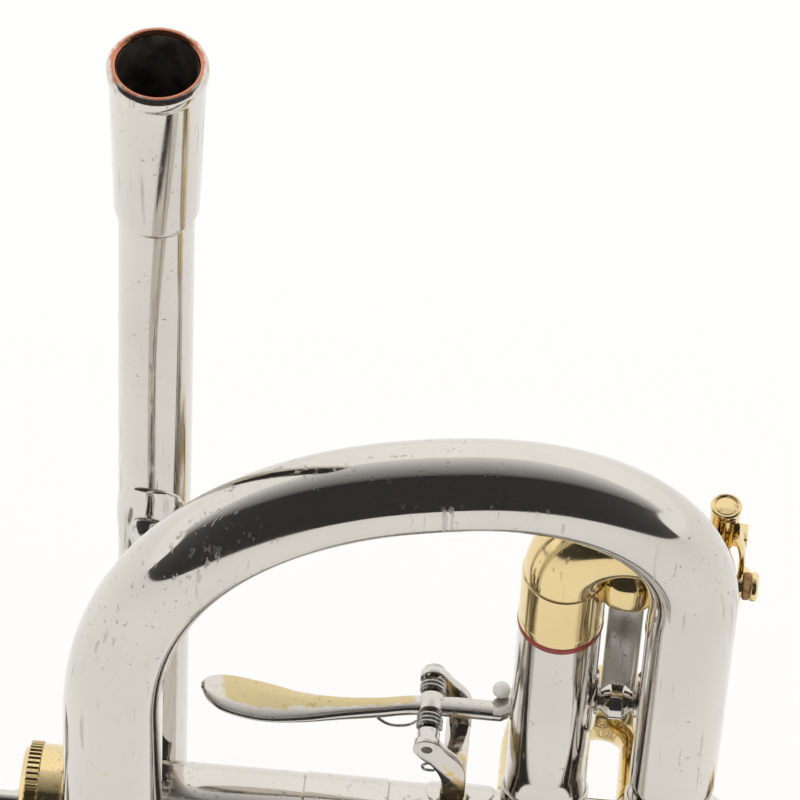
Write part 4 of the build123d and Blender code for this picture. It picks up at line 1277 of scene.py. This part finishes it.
def dress_cad():
    for number in (1, 2, 3):
        dress(f"valve_piston_{number}", PISTON)
    dress("valve_guides", PISTON)
    dress("casing_saddles", NICKEL)


# Studio


def plain(name, colour, roughness=0.6):
    """Matt studio paint of one colour."""
    material, _, shader = nodes_of(name)
    shader.inputs["Base Color"].default_value = (*colour, 1)
    shader.inputs["Roughness"].default_value = roughness
    return material


def card(name, rings, material, seen=False):
    """Sheet of the studio, hidden from the camera so that only reflections show it."""
    made = bmesh.new()
    rows = [[made.verts.new(Vector(p)) for p in ring] for ring in rings]
    for a, b in zip(rows, rows[1:]):
        for i in range(len(a) - 1):
            made.faces.new((a[i], a[i + 1], b[i + 1], b[i]))
    mesh = bpy.data.meshes.new(name)
    made.to_mesh(mesh)
    made.free()
    mesh.materials.append(material)
    sheet = bpy.data.objects.new(name, mesh)
    bpy.context.scene.collection.objects.link(sheet)
    sheet.visible_camera = seen
    sheet.visible_shadow = seen
    sheet.visible_diffuse = seen
    return sheet


def make_studio():
    floor_z = cad_bounds[0].z
    card(
        "floor", [[(x, y, floor_z) for x in (-60, 60)] for y in (-60, 60)],
        plain("floor_white", (0.93, 0.93, 0.93)), True,
    )
    radius = 1.5
    shades = [0.80, 0.70, 0.60, 0.50, 0.42, 0.34, 0.27, 0.21, 0.12] + [0.01] * 18 + [0.15, 0.4]
    low, high = -34.0, 114.0
    for index, shade in enumerate(shades):
        rows = []
        for k in (0, 1, 2):
            tilt = math.radians(low + (high - low) * (index + k / 2) / len(shades))
            rows.append(
                [
                    (x, -radius * math.sin(tilt), radius * math.cos(tilt) - 0.1)
                    for x in (-6.0, -2.0, 0.0, 2.0, 6.0)
                ]
            )
        card(f"room_{index}", rows, plain(f"room_shade_{index}", (shade, shade, shade * 1.02)))
    world = bpy.data.worlds.new("studio")
    world.use_nodes = True
    world.node_tree.nodes["Background"].inputs["Color"].default_value = (1.0, 0.995, 0.985, 1)
    world.node_tree.nodes["Background"].inputs["Strength"].default_value = 1.1
    bpy.context.scene.world = world
    bpy.context.scene.view_settings.view_transform = "Standard"


def make_camera():
    camera = bpy.data.cameras.new("camera")
    camera.sensor_width = 36
    camera.lens = 283.5
    camera.clip_end = 50
    rig = bpy.data.objects.new("camera", camera)
    bpy.context.scene.collection.objects.link(rig)
    right = Vector((0.9957, 0.0859, 0.0354))
    up = Vector((-0.0896, 0.7877, 0.6095))
    back = Vector((0.0245, -0.6101, 0.792))
    matrix = Matrix((right, up, back)).transposed().to_4x4()
    matrix.translation = Vector((0.0588, -0.5649, 0.6623))
    rig.matrix_world = matrix
    bpy.context.scene.camera = rig


make_receiver()
make_leadpipe()
make_brace()
make_pinky_hook()
make_bell()
make_bow()
make_casings()
make_caps()
make_knuckles()
for valve in range(3):
    make_valve_top(valve)
    make_valve_spring(valve)
make_first_slide()
make_spacer()
make_second_slide()
make_front_slides()
make_tuning_slide()
make_trigger_saddle()
make_trigger_screw()
make_trigger_lever()
make_trigger_springs()
make_trigger_link()
make_key_seat()
make_key_lever()
make_key_cork()
dress_cad()
make_studio()
make_camera()
